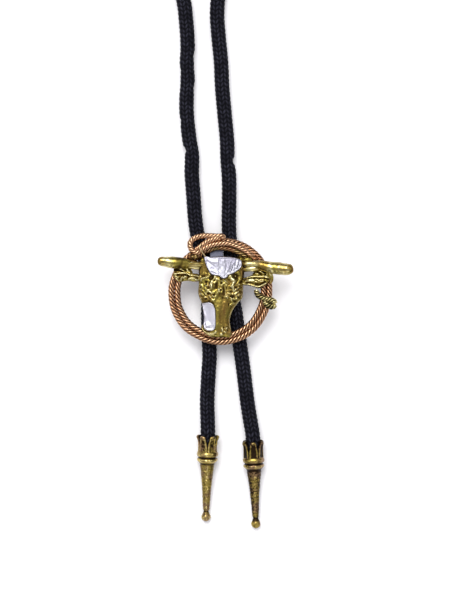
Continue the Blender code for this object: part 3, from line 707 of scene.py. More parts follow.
Ring = namedtuple("Ring", "down radius")
TIP_SHAFT = table(
    Ring,
    (6.2, 3.55), (6.7, 3.75), (7.0, 4.15), (7.5, 4.42), (8.1, 4.5), (8.7, 4.38), (9.1, 4.0), (9.35, 3.62),
    (9.65, 3.78), (10.0, 4.2), (10.5, 4.32), (11.0, 4.1), (11.5, 3.6), (11.9, 3.2), (12.4, 3.02),
    (14.5, 2.78), (16.7, 2.5), (20.0, 2.12), (23.0, 1.86), (26.5, 1.62), (29.5, 1.45), (31.6, 1.25),
    (32.5, 1.05), (32.95, 1.3), (33.3, 1.35), (33.6, 1.5), (34.1, 1.82), (34.9, 1.96), (35.6, 1.82),
    (36.2, 1.4), (36.6, 0.8), (36.8, 0.25),
)
TIP_PETALS = 6
PETAL_THICKNESS = 0.75
NOTCH_WIDTH = 2.2
NOTCH_DEPTH = 4.9
PETAL_SEAM = 0.04
PETAL = table(
    Ring,
    (0.05, 3.9), (0.3, 4.25), (0.8, 4.45), (1.4, 4.3), (2.1, 4.05), (3.2, 3.9), (4.6, 3.85), (6.0, 3.85),
    (7.0, 3.95),
)
PETAL_ROUND = 1.5
SHAFT_PITCH = 1.3
SHAFT_STARTS = 2
SHAFT_AROUND = 72
SHAFT_HAMMERED = (12.3, 13.2, 31.5, 32.6)
BAND_PLACES = ((8.1, 0.7), (10.5, 0.55))
BAND_SCALLOPS = 11
LUMP_RADIUS = 3.2
BALL_PLACE = (35.0, 1.2)
HOLLOW_REACH = 9
PETAL_COLUMNS = 21
CURL_REACH = 4.05
CURL_DOWN = 0.85
CURL_HALF = (0.78, 0.78, 0.8)


def tip_shaft(seed, shade):
    """The turned part of a tip: its inside, two bands, hammered shaft and ball."""
    outline = smooth_route([(0.0, ring.down, ring.radius) for ring in TIP_SHAFT], 0.16)
    down, radius = outline[:, 1:2], outline[:, 2:3]
    angle = np.arange(SHAFT_AROUND) / SHAFT_AROUND * math.tau
    starts, full, fades, ends = SHAFT_HAMMERED
    hammered = ease(down, starts, full) * (1 - ease(down, fades, ends))
    lumps, small = (
        noise_over(np.cos(angle) * LUMP_RADIUS, np.sin(angle) * LUMP_RADIUS, down, size, seed + more)
        for size, more in ((1.15, 0), (0.5, 9))
    )
    bands = sum(bump(down, *place) for place in BAND_PLACES)
    scallops = np.cos(angle * BAND_SCALLOPS + seed) * bands * 0.06
    hammer = np.sin(math.tau * (down / SHAFT_PITCH + SHAFT_STARTS * angle / math.tau) + lumps * 1.5)
    hammer = hammer * (0.7 + 0.5 * small)
    relief = hammered * (hammer * 0.05 + lumps * 0.1 + small * 0.15) + scallops + bands * small * 0.16
    relief = relief + bump(down, *BALL_PLACE) * lumps * 0.16
    swell = radius + relief
    places = np.stack([swell * np.cos(angle), swell * np.sin(angle), -down + 0 * angle], axis=-1)
    wide = 2 * HOLLOW_REACH + 1
    nearby = np.convolve(np.pad(radius[:, 0], HOLLOW_REACH, mode="edge"), np.ones(wide) / wide, "valid")
    worn = shade + 0.44 + relief * 1.6 + (radius - nearby[:, None]) * 1.3 - bands * 0.06
    # The hammered shaft's top, which faces up, is painted brighter, a painted highlight, and its sides and
    # underside darker, painted shade.
    front = bump(angle, math.pi / 2, 0.4) * hammered
    worn = worn + front * (0.08 + 0.6 * np.clip(small + 0.1, 0, 1))
    worn = worn - hammered * (0.03 + 0.08 * (1 - np.sin(angle)))
    return new_piece("tip_shaft", places, tube_faces(len(down), SHAFT_AROUND), worn=worn)


def tip_petal(angle, seed, shade):
    """One petal of the mouth, with raised edges, a shallow groove down its middle and a curled end."""
    rows = smooth_route([(0.0, row.down, row.radius) for row in PETAL], 0.2)
    down, radius = rows[:, 1:2], rows[:, 2:3]
    across = np.linspace(-1, 1, PETAL_COLUMNS)
    notch = PETAL_SEAM + NOTCH_WIDTH / 2 * np.clip(1 - down / NOTCH_DEPTH, 0, 1) ** 0.9
    half = math.pi / TIP_PETALS - notch / radius
    half = half * np.sqrt(1 - np.clip(1 - (down + 0.12) / PETAL_ROUND, 0, 1) ** 2.4)
    turned = angle + across * half
    end = 1 - ease(down, 0.6, 2.0)
    rolled = bump(np.abs(across), 0.74, 0.2) * ease(down, 0.6, 1.6)
    middle = bump(across, 0.0, 0.45) * ease(down, 1.6, 2.6) * (1 - ease(down, 4.2, 5.4))
    relief = rolled * 0.36 - middle * 0.12 + end * 0.3 * (1 - across**2)
    grain = noise_over(turned * 3.8, down, 0.0, 0.7, seed)
    outer = radius + relief + grain * 0.12
    inner = radius - (PETAL_THICKNESS + end * 0.4) + across * 0
    depth = -down + across * 0
    front, back = (np.stack([r * np.cos(turned), r * np.sin(turned), depth], axis=-1) for r in (outer, inner))
    return closed_sheet("tip_petal", front, back, worn=(shade + 0.34 + relief * 1.3 + grain * 0.35, 0.1))


def closed_sheet(name, front, back, **values):
    """A solid between two grids of points of one size. Each value is given for the front and the back."""
    rows, columns = front.shape[:2]
    faces = grid_quads(rows, columns)
    count = rows * columns
    faces += [[count + index for index in reversed(face)] for face in grid_quads(rows, columns)]
    edge = [(0, column) for column in range(columns)]
    edge += [(row, columns - 1) for row in range(1, rows)]
    edge += [(rows - 1, column) for column in range(columns - 2, -1, -1)]
    edge += [(row, 0) for row in range(rows - 2, 0, -1)]
    border = [row * columns + column for row, column in edge]
    for index, here in enumerate(border):
        following = border[(index + 1) % len(border)]
        faces.append([following, here, count + here, count + following])
    sides = {}
    for title, (front_values, back_values) in values.items():
        sides[title] = np.stack([front_values, np.broadcast_to(back_values, (rows, columns))])
    return new_piece(name, np.stack([front, back]), faces, **sides)


def lump(name, centre, half, worn, seed=0.0, rough=0.1, tint=0.0):
    """A small rounded casting lump."""
    work = bmesh.new()
    bmesh.ops.create_icosphere(work, subdivisions=3, radius=1.0)
    places = np.array([tuple(vertex.co) for vertex in work.verts])
    faces = [[vertex.index for vertex in face.verts] for face in work.faces]
    work.free()
    ripple = noise_over(*(places * 2).T, 1.0, seed)
    places = places * (1 + rough * ripple[:, None]) * np.array(half) + np.array(centre)
    return new_piece(name, places, faces, worn=worn + ripple * 0.3, gilt=ripple * 0 + tint)


def swept(name, rows, step, around, ripple=0.0, seed=0.0):
    """A closed round form along a route, whose rows end in the diameter, how polished it is, with painted
    reflections and highlights on the horns, and how brown.
    """
    points = smooth_route(rows, step)
    x, y, z, diameter, worn, brown = points.T[:, :, None]
    _, side, up = cross_frames(points)
    angle = np.arange(around) / around * math.tau
    grain = noise_over(x, y + np.cos(angle) * 1.5, z + np.sin(angle) * 1.5, 1.3, seed)
    reach = np.clip(diameter / 2, 0.03, None) * (1 + ripple * grain)
    places = points[:, None, :3] + side[:, None, :] * (reach * np.cos(angle))[:, :, None]
    places = places + up[:, None, :] * (reach * np.sin(angle))[:, :, None]
    faces = tube_faces(len(points), around)
    return new_piece(name, places, faces, worn=worn + grain * 0.2, gilt=brown + angle * 0)


def make_tip(name, place, node, seed):
    mouth, down = tip_direction(place)
    turn = math.radians(place.turn_degrees)
    pieces = [tip_shaft(seed, place.shade)]
    petal_shade = place.shade * 1.7 - 0.04
    for number in range(TIP_PETALS):
        angle = turn + math.tau * number / TIP_PETALS
        pieces.append(tip_petal(angle, seed + number, petal_shade))
        centre = (CURL_REACH * math.cos(angle), CURL_REACH * math.sin(angle), -CURL_DOWN)
        pieces.append(lump("tip_curl", centre, CURL_HALF, 0.42 + place.shade, seed + number * 3))
    tip = joined(name, pieces)
    rotation = (-down).to_track_quat("Z", "Y").to_matrix().to_4x4()
    stretched = Matrix.Diagonal((1.0, 1.0, place.stretch, 1.0))
    tip.data.transform(Matrix.Translation(mouth * MM) @ rotation @ stretched)
    return dress(tip, TIP_BRASS, "antique_brass", node)


TIPS = [
    make_tip("left_cord_tip", LEFT_TIP, "left_tip", 3.1),
    make_tip("right_cord_tip", RIGHT_TIP, "right_tip", 17.7),
]

# ---- lariat ----

CoilRow = namedtuple("CoilRow", "degrees inner outer")
COIL = table(
    CoilRow,
    (0, 18.0, 20.4), (20, 18.0, 20.8), (40, 18.1, 21.3), (62, 18.0, 21.35), (80, 18.2, 21.1),
    (95, 18.3, 20.8), (107, 17.9, 20.3), (125, 17.2, 19.6), (150, 17.6, 20.0), (180, 17.95, 20.5),
    (205, 18.4, 20.9), (225, 18.7, 21.15), (245, 18.6, 20.95), (270, 18.9, 21.2), (305, 18.6, 21.05),
    (335, 18.05, 20.5), (360, 18.0, 20.4),
)
COIL_CROSSING_FROM = 8.0
COIL_CROSSING_TO = 32.0
COIL_END = 14.0
RopePoint = namedtuple("RopePoint", "x y z swell")
LASSO_ROUTE = table(
    RopePoint,
    (1.5, 22.2, 11.3, 0.35), (1.1, 22.6, 11.3, 0.95), (0.1, 22.9, 11.3, 1.0), (-1.1, 22.9, 11.1, 0.85),
    (-3.6, 23.1, 10.7, 0.85), (-7.0, 23.1, 10.4, 0.88), (-10.2, 22.4, 10.2, 0.88),
    (-12.4, 20.7, 10.3, 0.88), (-12.6, 18.6, 10.9, 0.88), (-11.5, 16.8, 11.4, 0.9),
    (-9.6, 16.2, 11.5, 0.88), (-7.4, 17.4, 11.2, 0.88), (-4.7, 18.8, 11.1, 0.88), (-1.2, 19.7, 11.2, 0.9),
    (2.8, 19.85, 11.3, 0.92), (6.6, 18.9, 11.3, 0.95), (9.8, 17.3, 11.3, 0.95), (12.4, 15.5, 11.2, 0.92),
    (14.2, 13.8, 9.9, 0.9),
)
# The strand that closes the small loop from below, and the fine wire that runs from it to the inlay
CLOSING_ROUTE = table(
    RopePoint,
    (-11.0, 16.4, 10.6, 0.7), (-9.4, 17.7, 11.1, 0.8), (-7.5, 19.2, 11.3, 0.88), (-5.2, 20.9, 11.2, 0.9),
    (-2.5, 21.9, 11.0, 0.88), (0.2, 22.3, 10.8, 0.8),
)
MetalPoint = namedtuple("MetalPoint", "x y z diameter worn brown", defaults=(0.95, 1.0))
WIRE = table(
    MetalPoint,
    (-7.6, 20.0, 12.6, 0.35), (-8.3, 19.3, 13.0, 0.52), (-8.7, 18.4, 13.1, 0.56),
    (-8.25, 17.35, 13.15, 0.56), (-7.6, 16.3, 13.15, 0.56), (-6.8, 15.1, 13.05, 0.56),
    (-6.2, 14.3, 12.9, 0.4),
)
# Cast lumps where the small loop lies on the coil: centre, half sizes and how polished
Lump = namedtuple("Lump", "centre half worn")
COIL_LUMPS = table(
    Lump,
    ((-12.0, 14.2, 11.2), (1.7, 1.1, 1.1), 0.30),
    ((-10.4, 14.3, 11.3), (1.3, 1.1, 1.1), 0.36),
    ((-12.9, 15.3, 11.1), (0.9, 0.9, 1.0), 0.42),
    ((14.2, 13.5, 10.7), (1.7, 1.0, 1.2), 0.42),
)
KNOT_UPPER = table(
    RopePoint,
    (14.9, 0.2, 11.8, 0.8), (15.1, -0.6, 12.1, 1.05), (15.8, -1.7, 12.3, 1.25), (17.4, -2.7, 12.4, 1.2),
    (19.4, -3.3, 12.4, 1.1), (21.2, -3.7, 12.6, 1.15), (22.4, -4.2, 12.6, 0.95), (23.0, -4.7, 12.4, 0.4),
)
KNOT_LOWER = table(
    RopePoint,
    (18.2, -4.7, 11.7, 0.6), (19.2, -5.5, 12.0, 1.15), (20.6, -6.2, 12.2, 1.3), (22.0, -6.3, 12.3, 1.15),
    (22.9, -5.8, 12.2, 0.5),
)
ROPE_RADIUS = 1.3
ROPE_LAY = -8.7
ROPE_STRANDS = 5
ROPE_FLATNESS = 0.92
ROPE_FINE_STEP = 0.3
ROPE_BATCH = 4000
SMALL_LOOP_LAY = 0.82
KNOT_RADIUS = 1.15
KNOT_LAY = -4.8
KNOT_STRANDS = 4
STRAND_LOW = 0.80
STRAND_HIGH = 1.03
GILT_FROM = 22.0
GILT_TO = 112.0
GILT_RADIUS = 19.4
GILT_FADE = 15.0
GILT_WORN = 0.52
GILT_SHARE = 0.75
RIDGED_FROM = 22.0
RIDGED_TO = 80.0
RIDGED_FADE = 12.0
RIDGE_REACH = 20.9
RIDGE_LEAN = 0.45
RIDGE_PITCH = 1.72
RIDGE_DEPTH = 0.09


def laid_rope_tree():
    """Geometry nodes that lay strands round a line. Each point's swell sets how thick the rope is there."""
    tree = bpy.data.node_groups.new("laid_rope", "GeometryNodeTree")
    face = tree.interface
    face.new_socket("Line", in_out="INPUT", socket_type="NodeSocketGeometry")
    for title, kind, default in (
        ("Strands", "NodeSocketInt", 3),
        ("Strand Radius", "NodeSocketFloat", 0.0005),
        ("Strand Reach", "NodeSocketFloat", 0.0006),
        ("Lay Length", "NodeSocketFloat", 0.006),
        ("Sides", "NodeSocketInt", 10),
        ("Material", "NodeSocketMaterial", None),
    ):
        socket = face.new_socket(title, in_out="INPUT", socket_type=kind)
        if default is not None:
            socket.default_value = default
    face.new_socket("Rope", in_out="OUTPUT", socket_type="NodeSocketGeometry")
    nodes, links = tree.nodes, tree.links
    given, made = nodes.new("NodeGroupInput"), nodes.new("NodeGroupOutput")

    def calc(operation, one, two=None):
        node = nodes.new("ShaderNodeMath")
        node.operation = operation
        for socket, value in zip(node.inputs, (one, two)):
            wire(tree, socket, value)
        return node.outputs[0]

    def vectors(operation, one, two=None, scale=None):
        node = nodes.new("ShaderNodeVectorMath")
        node.operation = operation
        links.new(one, node.inputs[0])
        if two is not None:
            links.new(two, node.inputs[1])
        if scale is not None:
            links.new(scale, node.inputs["Scale"])
        return node.outputs[0]

    line = nodes.new("GeometryNodeMeshToCurve")
    links.new(given.outputs["Line"], line.inputs["Mesh"])
    copies = nodes.new("GeometryNodeDuplicateElements")
    copies.domain = "SPLINE"
    links.new(line.outputs["Curve"], copies.inputs["Geometry"])
    links.new(given.outputs["Strands"], copies.inputs["Amount"])
    swell = nodes.new("GeometryNodeInputNamedAttribute")
    swell.data_type = "FLOAT"
    swell.inputs["Name"].default_value = "swell"
    along = nodes.new("GeometryNodeSplineParameter")
    turn = calc("DIVIDE", along.outputs["Length"], given.outputs["Lay Length"])
    share = calc("DIVIDE", copies.outputs["Duplicate Index"], given.outputs["Strands"])
    angle = calc("MULTIPLY", calc("ADD", turn, share), math.tau)
    normal = nodes.new("GeometryNodeInputNormal")
    tangent = nodes.new("GeometryNodeInputTangent")
    side = vectors("CROSS_PRODUCT", tangent.outputs[0], normal.outputs["Normal"])
    reach = calc("MULTIPLY", given.outputs["Strand Reach"], swell.outputs["Attribute"])
    offset = vectors(
        "ADD",
        vectors("SCALE", normal.outputs["Normal"], scale=calc("MULTIPLY", calc("COSINE", angle), reach)),
        vectors("SCALE", side, scale=calc("MULTIPLY", calc("SINE", angle), reach)),
    )
    laid = nodes.new("GeometryNodeSetPosition")
    links.new(copies.outputs["Geometry"], laid.inputs["Geometry"])
    links.new(offset, laid.inputs["Offset"])
    sized = nodes.new("GeometryNodeSetCurveRadius")
    links.new(laid.outputs["Geometry"], sized.inputs["Curve"])
    links.new(swell.outputs["Attribute"], sized.inputs["Radius"])
    section = nodes.new("GeometryNodeCurvePrimitiveCircle")
    links.new(given.outputs["Sides"], section.inputs["Resolution"])
    links.new(given.outputs["Strand Radius"], section.inputs["Radius"])
    skin = nodes.new("GeometryNodeCurveToMesh")
    links.new(sized.outputs["Curve"], skin.inputs["Curve"])
    links.new(section.outputs["Curve"], skin.inputs["Profile Curve"])
    skin.inputs["Fill Caps"].default_value = True
    real = nodes.new("GeometryNodeRealizeInstances")
    finish = nodes.new("GeometryNodeSetMaterial")
    links.new(skin.outputs["Mesh"], real.inputs["Geometry"])
    links.new(real.outputs["Geometry"], finish.inputs["Geometry"])
    links.new(given.outputs["Material"], finish.inputs["Material"])
    links.new(finish.outputs["Geometry"], made.inputs["Rope"])
    return tree


LAID_ROPE = laid_rope_tree()


def laid_rope(name, points, swells, radius, lay, material, strands=ROPE_STRANDS, sides=10):
    """A laid rope along a route in millimetres, dark between its strands."""
    line = bpy.data.meshes.new(name)
    edges = [(index, index + 1) for index in range(len(points) - 1)]
    line.from_pydata((points[:, :3] * MM).tolist(), edges, [])
    write_values(line, "swell", swells)
    guide = new_object(name, line)
    modifier = guide.modifiers.new("laid_rope", "NODES")
    modifier.node_group = LAID_ROPE
    apart = math.sin(math.pi / strands)
    strand = radius * apart / (1 + apart)
    inputs = {
        "Strands": strands,
        "Strand Radius": strand * 1.03 * MM,
        "Strand Reach": (radius - strand) * MM,
        "Lay Length": lay * MM,
        "Sides": sides,
        "Material": material,
    }
    for item in LAID_ROPE.interface.items_tree:
        if item.name in inputs:
            modifier[item.identifier] = inputs[item.name]
    mesh = plain_mesh(guide)
    if "swell" in mesh.attributes:
        mesh.attributes.remove(mesh.attributes["swell"])
    tidy_mesh(mesh)
    write_values(mesh, "worn", rope_worn(read_places(mesh), points, radius * np.asarray(swells)))
    return new_object(name, mesh)


def rope_worn(places, points, radii):
    """Polish of a rope's points by how far they are from its middle line."""
    worn = np.empty(len(places), np.float32)
    for start in range(0, len(places), ROPE_BATCH):
        part = places[start : start + ROPE_BATCH]
        far = np.linalg.norm(part[:, None, :] - points[None, ::2, :3], axis=2)
        nearest = far.argmin(axis=1)
        reach = far[np.arange(len(part)), nearest] / radii[::2][nearest]
        worn[start : start + ROPE_BATCH] = ease(reach, STRAND_LOW, STRAND_HIGH) ** 1.3
    return worn * 0.9


def coil_points():
    rows = np.array(COIL, float)
    degrees = np.arange(COIL_CROSSING_TO, COIL_END + 720, 1.0)
    past = ease(degrees - 360, COIL_CROSSING_FROM, COIL_CROSSING_TO)
    shared = degrees % 360
    inner = smooth_between(shared, rows[:, 0], rows[:, 1])
    outer = smooth_between(shared, rows[:, 0], rows[:, 2])
    radius = inner + (outer - inner) * past
    angle = np.radians(degrees)
    places = np.column_stack([radius * np.cos(angle), radius * np.sin(angle), angle * 0 + COIL_Z])
    return evenly(places, ROPE_FINE_STEP)


def smooth_between(x, xs, values):
    index = np.clip(np.searchsorted(xs, x, side="right") - 1, 0, len(xs) - 2)
    share = ease(x, xs[index], xs[index + 1])
    return values[index] + (values[index + 1] - values[index]) * share


def gilded(mesh):
    """Marks the inner turn at the top of the coil, which shows more gold than copper."""
    x, y, _ = read_places(mesh).T
    degrees = np.degrees(np.arctan2(y, x))
    share = ease(degrees, GILT_FROM, GILT_FROM + GILT_FADE)
    share = share * (1 - ease(degrees, GILT_TO - GILT_FADE, GILT_TO))
    share = share * (1 - ease(np.hypot(x, y), GILT_RADIUS, GILT_RADIUS + 0.4))
    worn = read_values(mesh, "worn")
    write_values(mesh, "gilt", share)
    write_values(mesh, "worn", worn + (GILT_WORN - worn) * share * GILT_SHARE)


def ridged(mesh):
    """The outer turn's coarse upright ridges, where the cast rope widens at the top right."""
    x, y, z = read_places(mesh).T
    angle = np.arctan2(y, x)
    degrees = np.degrees(angle)
    rows = np.array(COIL, float)
    centre = smooth_between(degrees % 360, rows[:, 0], rows[:, 2])
    reach = np.hypot(x, y)
    share = ease(degrees, RIDGED_FROM, RIDGED_FROM + RIDGED_FADE)
    share = share * (1 - ease(degrees, RIDGED_TO - RIDGED_FADE, RIDGED_TO))
    share = share * ease(reach, centre - 1.5, centre - 1.1)
    wave = np.sin(math.tau * (angle * RIDGE_REACH + (reach - centre) * RIDGE_LEAN) / RIDGE_PITCH)
    grown = 1 + share * RIDGE_DEPTH * wave
    reach = centre + (reach - centre) * grown
    moved = np.column_stack([reach * np.cos(angle), reach * np.sin(angle), COIL_Z + (z - COIL_Z) * grown])
    mesh.vertices.foreach_set("co", (moved * MM).astype(np.float32).ravel())
    worn = read_values(mesh, "worn")
    write_values(mesh, "worn", worn + share * (wave * 0.22 - 0.1 + (0.5 - worn) * 0.35))


def make_lariat():
    coil = coil_points()
    turns = laid_rope("coil", coil, np.ones(len(coil)), ROPE_RADIUS, ROPE_LAY, COPPER)
    flat = Matrix.Diagonal((1.0, 1.0, ROPE_FLATNESS, 1.0))
    level = Matrix.Translation((0.0, 0.0, COIL_Z * MM))
    turns.data.transform(level @ flat @ level.inverted())
    gilded(turns.data)
    ridged(turns.data)
    pieces = [turns]
    for row in COIL_LUMPS:
        pieces.append(lump("coil_lump", *row, seed=len(pieces) * 5.0, rough=0.3, tint=1.0))
    for name, rows in (("small_loop", LASSO_ROUTE), ("closing_strand", CLOSING_ROUTE)):
        route = smooth_route(rows, ROPE_FINE_STEP)
        pieces.append(laid_rope(name, route, route[:, 3], ROPE_RADIUS, ROPE_LAY * SMALL_LOOP_LAY, COPPER))
    pieces.append(swept("wire", WIRE, 0.12, 12))
    return dress(joined("lariat_rope", pieces), COPPER, "copper", "lariat")


def make_knot():
    pieces = []
    for name, rows in (("knot_upper", KNOT_UPPER), ("knot_lower", KNOT_LOWER)):
        route = smooth_route(rows, 0.2)
        swells = route[:, 3]
        pieces.append(laid_rope(name, route, swells, KNOT_RADIUS, KNOT_LAY, ROPE_BRASS, KNOT_STRANDS, 12))
    return dress(joined("rope_end", pieces), ROPE_BRASS, "antique_brass", "lariat_knot")


make_lariat()
make_knot()

# ---- steer head ----

FaceRow = namedtuple("FaceRow", "y left right ridge crown side")
FACE = table(
    FaceRow,
    (14.0, -7.0, 8.8, 0.9, 4.0, 2.2), (12.5, -8.5, 9.9, 0.9, 4.6, 2.4), (9.5, -9.0, 10.2, 0.9, 5.0, 2.4),
    (6.0, -9.1, 9.8, 0.9, 5.3, 2.4), (2.5, -9.1, 9.5, 0.8, 5.4, 2.2), (-0.5, -9.3, 9.4, 0.6, 5.4, 2.0),
    (-3.0, -8.7, 9.0, 0.4, 5.5, 1.8), (-5.0, -7.8, 7.2, 0.2, 5.6, 1.7), (-8.0, -7.1, 5.2, 0.0, 5.6, 1.6),
    (-11.0, -6.5, 4.1, -0.4, 5.5, 1.6), (-13.0, -6.8, 4.0, -0.8, 5.5, 1.8),
    (-15.0, -8.0, 4.3, -1.2, 5.5, 2.1), (-16.6, -7.4, 4.6, -1.2, 5.2, 2.6),
    (-18.2, -5.6, 4.6, -0.8, 4.6, 3.0), (-19.3, -3.2, 3.6, 0.0, 3.8, 3.0),
)
CROWN_POWER = 0.8
PLATE_PROUD = 0.45
POCKET_DEPTH = 0.9
OVER_COIL_REACH = (16.2, 16.8)


def face_table(y):
    """The face's table read at any place down its length, smoothly."""
    rows = smooth_route([(row.y, *row[1:]) for row in FACE], 0.25)
    order = np.argsort(rows[:, 0])
    return [np.interp(y, rows[order, 0], rows[order, column]) for column in range(1, 6)]


def face_height(x, y):
    """Height of the plain face above the surface, at places in millimetres."""
    left, right, ridge, crown, side = face_table(y)
    reach = np.where(x < ridge, ridge - left, right - ridge)
    away = np.clip(np.abs(x - ridge) / reach, 0, 1)
    return BACK_Z + side + (crown - side) * (1 - away**2) ** (CROWN_POWER / 2)


# Raised lines of the casting: a route on the face, its width and its height. Grooves are below zero.
Line = namedtuple("Line", "width height route")
FACE_LINES = table(
    Line,
    # brows and the ridges beside the eyes
    (0.40, 0.35, ((-8.4, 4.4), (-7.6, 5.4), (-4.9, 5.9), (-4.3, 6.6))),
    (0.50, 0.60, ((-2.2, 6.5), (-2.4, 5.6), (-3.2, 4.6), (-3.8, 3.7), (-3.9, 3.0), (-3.7, 2.0))),
    (0.42, 0.45, ((-1.4, 5.1), (-1.9, 4.2), (-2.5, 3.4))),
    (0.66, 0.75, ((4.1, 6.3), (4.7, 5.4), (5.6, 4.9))),
    (0.50, 0.62, ((5.9, 4.1), (5.3, 3.1), (4.6, 2.0))),
    (0.42, 0.50, ((5.1, 1.4), (5.3, 0.8), (5.7, 0.0))),
    # curls of the left cheek
    (0.40, 0.50, ((-5.5, 2.5), (-6.2, 2.3), (-6.5, 1.6), (-6.1, 1.0), (-5.4, 0.7))),
    (0.42, 0.30, ((-3.8, 2.0), (-4.0, 1.2), (-4.7, 0.5))),
    (0.36, 0.50, ((-6.0, -0.3), (-5.0, -0.1), (-4.0, -0.4))),
    (0.42, 0.40, ((-3.7, -0.9), (-2.6, -0.3), (-1.7, 0.5))),
    (0.36, 0.35, ((-8.3, 0.9), (-7.4, 0.2), (-6.4, -0.8), (-5.8, -1.5))),
    (0.34, 0.35, ((-8.3, -1.0), (-7.5, -1.4), (-6.7, -2.5), (-5.8, -2.6), (-5.2, -3.3))),
    (0.38, 0.38, ((-4.6, -1.9), (-4.1, -2.7), (-3.4, -3.6))),
    (0.34, 0.35, ((-8.2, 3.0), (-7.6, 2.4), (-7.7, 1.6))),
    # middle of the forehead
    (0.34, 0.35, ((-0.5, 4.9), (-0.5, 3.6), (-0.3, 2.3))),
    (0.34, 0.50, ((0.5, 2.5), (1.0, 3.1), (1.5, 3.4), (2.0, 3.1), (2.5, 2.5))),
    (0.34, 0.45, ((2.2, 4.1), (2.7, 3.7), (3.1, 3.2))),
    (0.28, 0.40, ((0.3, 1.1), (0.8, 0.7), (0.7, -0.1), (0.2, -0.4), (-0.2, 0.1))),
    # borders of the nose bridge
    (0.45, 0.50, ((-0.6, 1.1), (-0.7, 0.3), (-1.2, -0.6), (-1.8, -1.5), (-2.4, -2.6), (-2.9, -3.8))),
    (0.30, 0.42, ((1.9, 2.3), (2.0, 0.8), (2.05, -0.6), (2.2, -1.6), (1.7, -2.4))),
    (0.55, 0.40, ((3.2, 2.0), (3.1, 0.2), (3.1, -1.2), (2.8, -2.4))),
    # curls of the right cheek
    (0.34, 0.42, ((6.2, 0.4), (7.0, 1.1), (7.7, 1.7))),
    (0.34, 0.45, ((6.1, -1.2), (6.9, -0.6), (7.7, -0.1))),
    (0.34, 0.35, ((3.8, -0.9), (4.6, -0.8), (5.1, -1.3))),
    (0.34, 0.50, ((4.4, -2.8), (4.7, -3.4), (4.9, -4.4))),
    (0.34, 0.40, ((5.5, -3.1), (6.2, -3.4), (7.0, -3.0))),
    (0.34, 0.35, ((6.2, -2.2), (7.2, -2.0), (8.2, -1.4))),
    (0.34, 0.45, ((3.9, -5.9), (4.6, -5.5), (5.7, -4.9))),
    (0.34, 0.30, ((6.9, 2.4), (7.3, 3.4), (8.2, 4.8))),
    # nose bridge
    (0.60, -0.12, ((0.9, -3.0), (0.7, -5.0), (0.2, -8.0), (-0.1, -10.4), (-0.4, -14.2), (-0.9, -15.6))),
    (0.70, 0.09, ((-1.1, -6.5), (-1.2, -9.0), (-1.2, -14.0))),
    (0.60, 0.09, ((1.7, -5.0), (1.7, -9.7), (1.4, -13.0))),
    # round the muzzle inlay, and the strip beside the forehead inlay
    (0.34, 0.40, ((-7.8, -13.8), (-7.8, -15.2), (-6.7, -16.8), (-4.2, -17.6), (-2.2, -17.4))),
    (0.24, -0.50, ((-7.4, -14.2), (-7.2, -15.5), (-6.3, -16.6), (-4.6, -17.1))),
    (0.34, 0.30, ((-4.6, -18.0), (-2.6, -18.4), (-1.0, -18.9))),
)
Mass = namedtuple("Mass", "x y half_x half_y rise")
FACE_MASSES = table(
    Mass,
    # eyes in their sockets
    (-3.85, 5.63, 0.80, 0.80, -1.5), (-3.85, 5.63, 0.38, 0.38, 0.55), (6.25, 6.25, 1.0, 0.85, -1.5),
    (6.2, 6.25, 0.5, 0.42, 1.15),
    # swellings
    (-6.0, -0.6, 2.4, 2.5, 0.35), (6.2, -0.9, 2.4, 2.5, 0.35), (-3.9, 2.6, 1.3, 2.4, 0.4),
    (5.2, 3.2, 1.3, 2.4, 0.4),
    # bright points
    (-3.2, -1.9, 0.42, 0.42, 0.6), (2.8, -2.6, 0.42, 0.36, 0.5), (0.63, 4.2, 0.34, 0.34, 0.5),
    (1.83, 4.4, 0.34, 0.4, 0.55), (-0.65, 0.6, 0.36, 0.6, 0.4), (7.9, 2.8, 0.34, 0.34, 0.5),
    (-4.1, -2.5, 0.34, 0.34, 0.35),
    # pits
    (-2.6, 4.7, 0.40, 0.45, -0.55), (-1.7, 2.2, 0.32, 1.1, -0.6), (-6.0, 3.9, 0.50, 0.45, -0.55),
    (-7.8, 3.6, 0.35, 0.35, -0.35), (-5.2, -1.1, 0.62, 0.36, -0.5), (-2.7, -1.5, 0.75, 0.36, -0.5),
    (-2.8, -2.9, 0.36, 0.4, -0.5), (-7.0, -2.1, 0.32, 0.3, -0.4), (-6.0, -3.2, 0.6, 0.32, -0.5),
    (0.3, 5.1, 0.5, 0.45, -0.55), (0.4, 3.5, 0.36, 0.45, -0.45), (1.45, 0.0, 0.3, 1.3, -0.45),
    (2.6, 1.2, 0.28, 0.7, -0.35), (0.25, 0.5, 0.26, 0.26, -0.4), (8.5, 3.7, 0.7, 0.7, -0.7),
    (5.1, -2.2, 0.85, 0.55, -0.75), (4.2, -0.4, 0.34, 0.3, -0.45), (5.6, -4.4, 0.5, 0.34, -0.5),
    (3.5, -5.7, 0.32, 0.55, -0.4), (6.6, 1.6, 0.6, 0.32, -0.4), (7.9, -2.8, 0.5, 0.36, -0.4),
    (-7.2, 6.3, 1.0, 0.5, -0.45),
    # nostril and chin
    (2.4, -15.3, 0.42, 0.42, 0.65), (0.76, -16.1, 0.34, 0.75, 0.55), (1.9, -16.9, 0.5, 0.3, 0.5),
    (0.4, -17.9, 0.55, 0.5, 0.6), (-2.0, -16.9, 0.38, 0.38, 0.45), (1.4, -15.0, 0.32, 0.32, -0.6),
    (3.1, -16.4, 0.42, 0.4, -0.45), (-2.0, -18.0, 0.5, 0.32, -0.45), (1.4, -17.5, 0.3, 0.26, -0.4),
)


def line_distance(x, y, route):
    """Distance from places to the nearest of a route's straight parts."""
    nearest = np.full(np.shape(x), 1e9)
    for (x0, y0), (x1, y1) in zip(route, route[1:]):
        dx, dy = x1 - x0, y1 - y0
        share = np.clip(((x - x0) * dx + (y - y0) * dy) / (dx * dx + dy * dy), 0, 1)
        nearest = np.minimum(nearest, np.hypot(x - x0 - share * dx, y - y0 - share * dy))
    return nearest


PIT_SHARE = 0.6


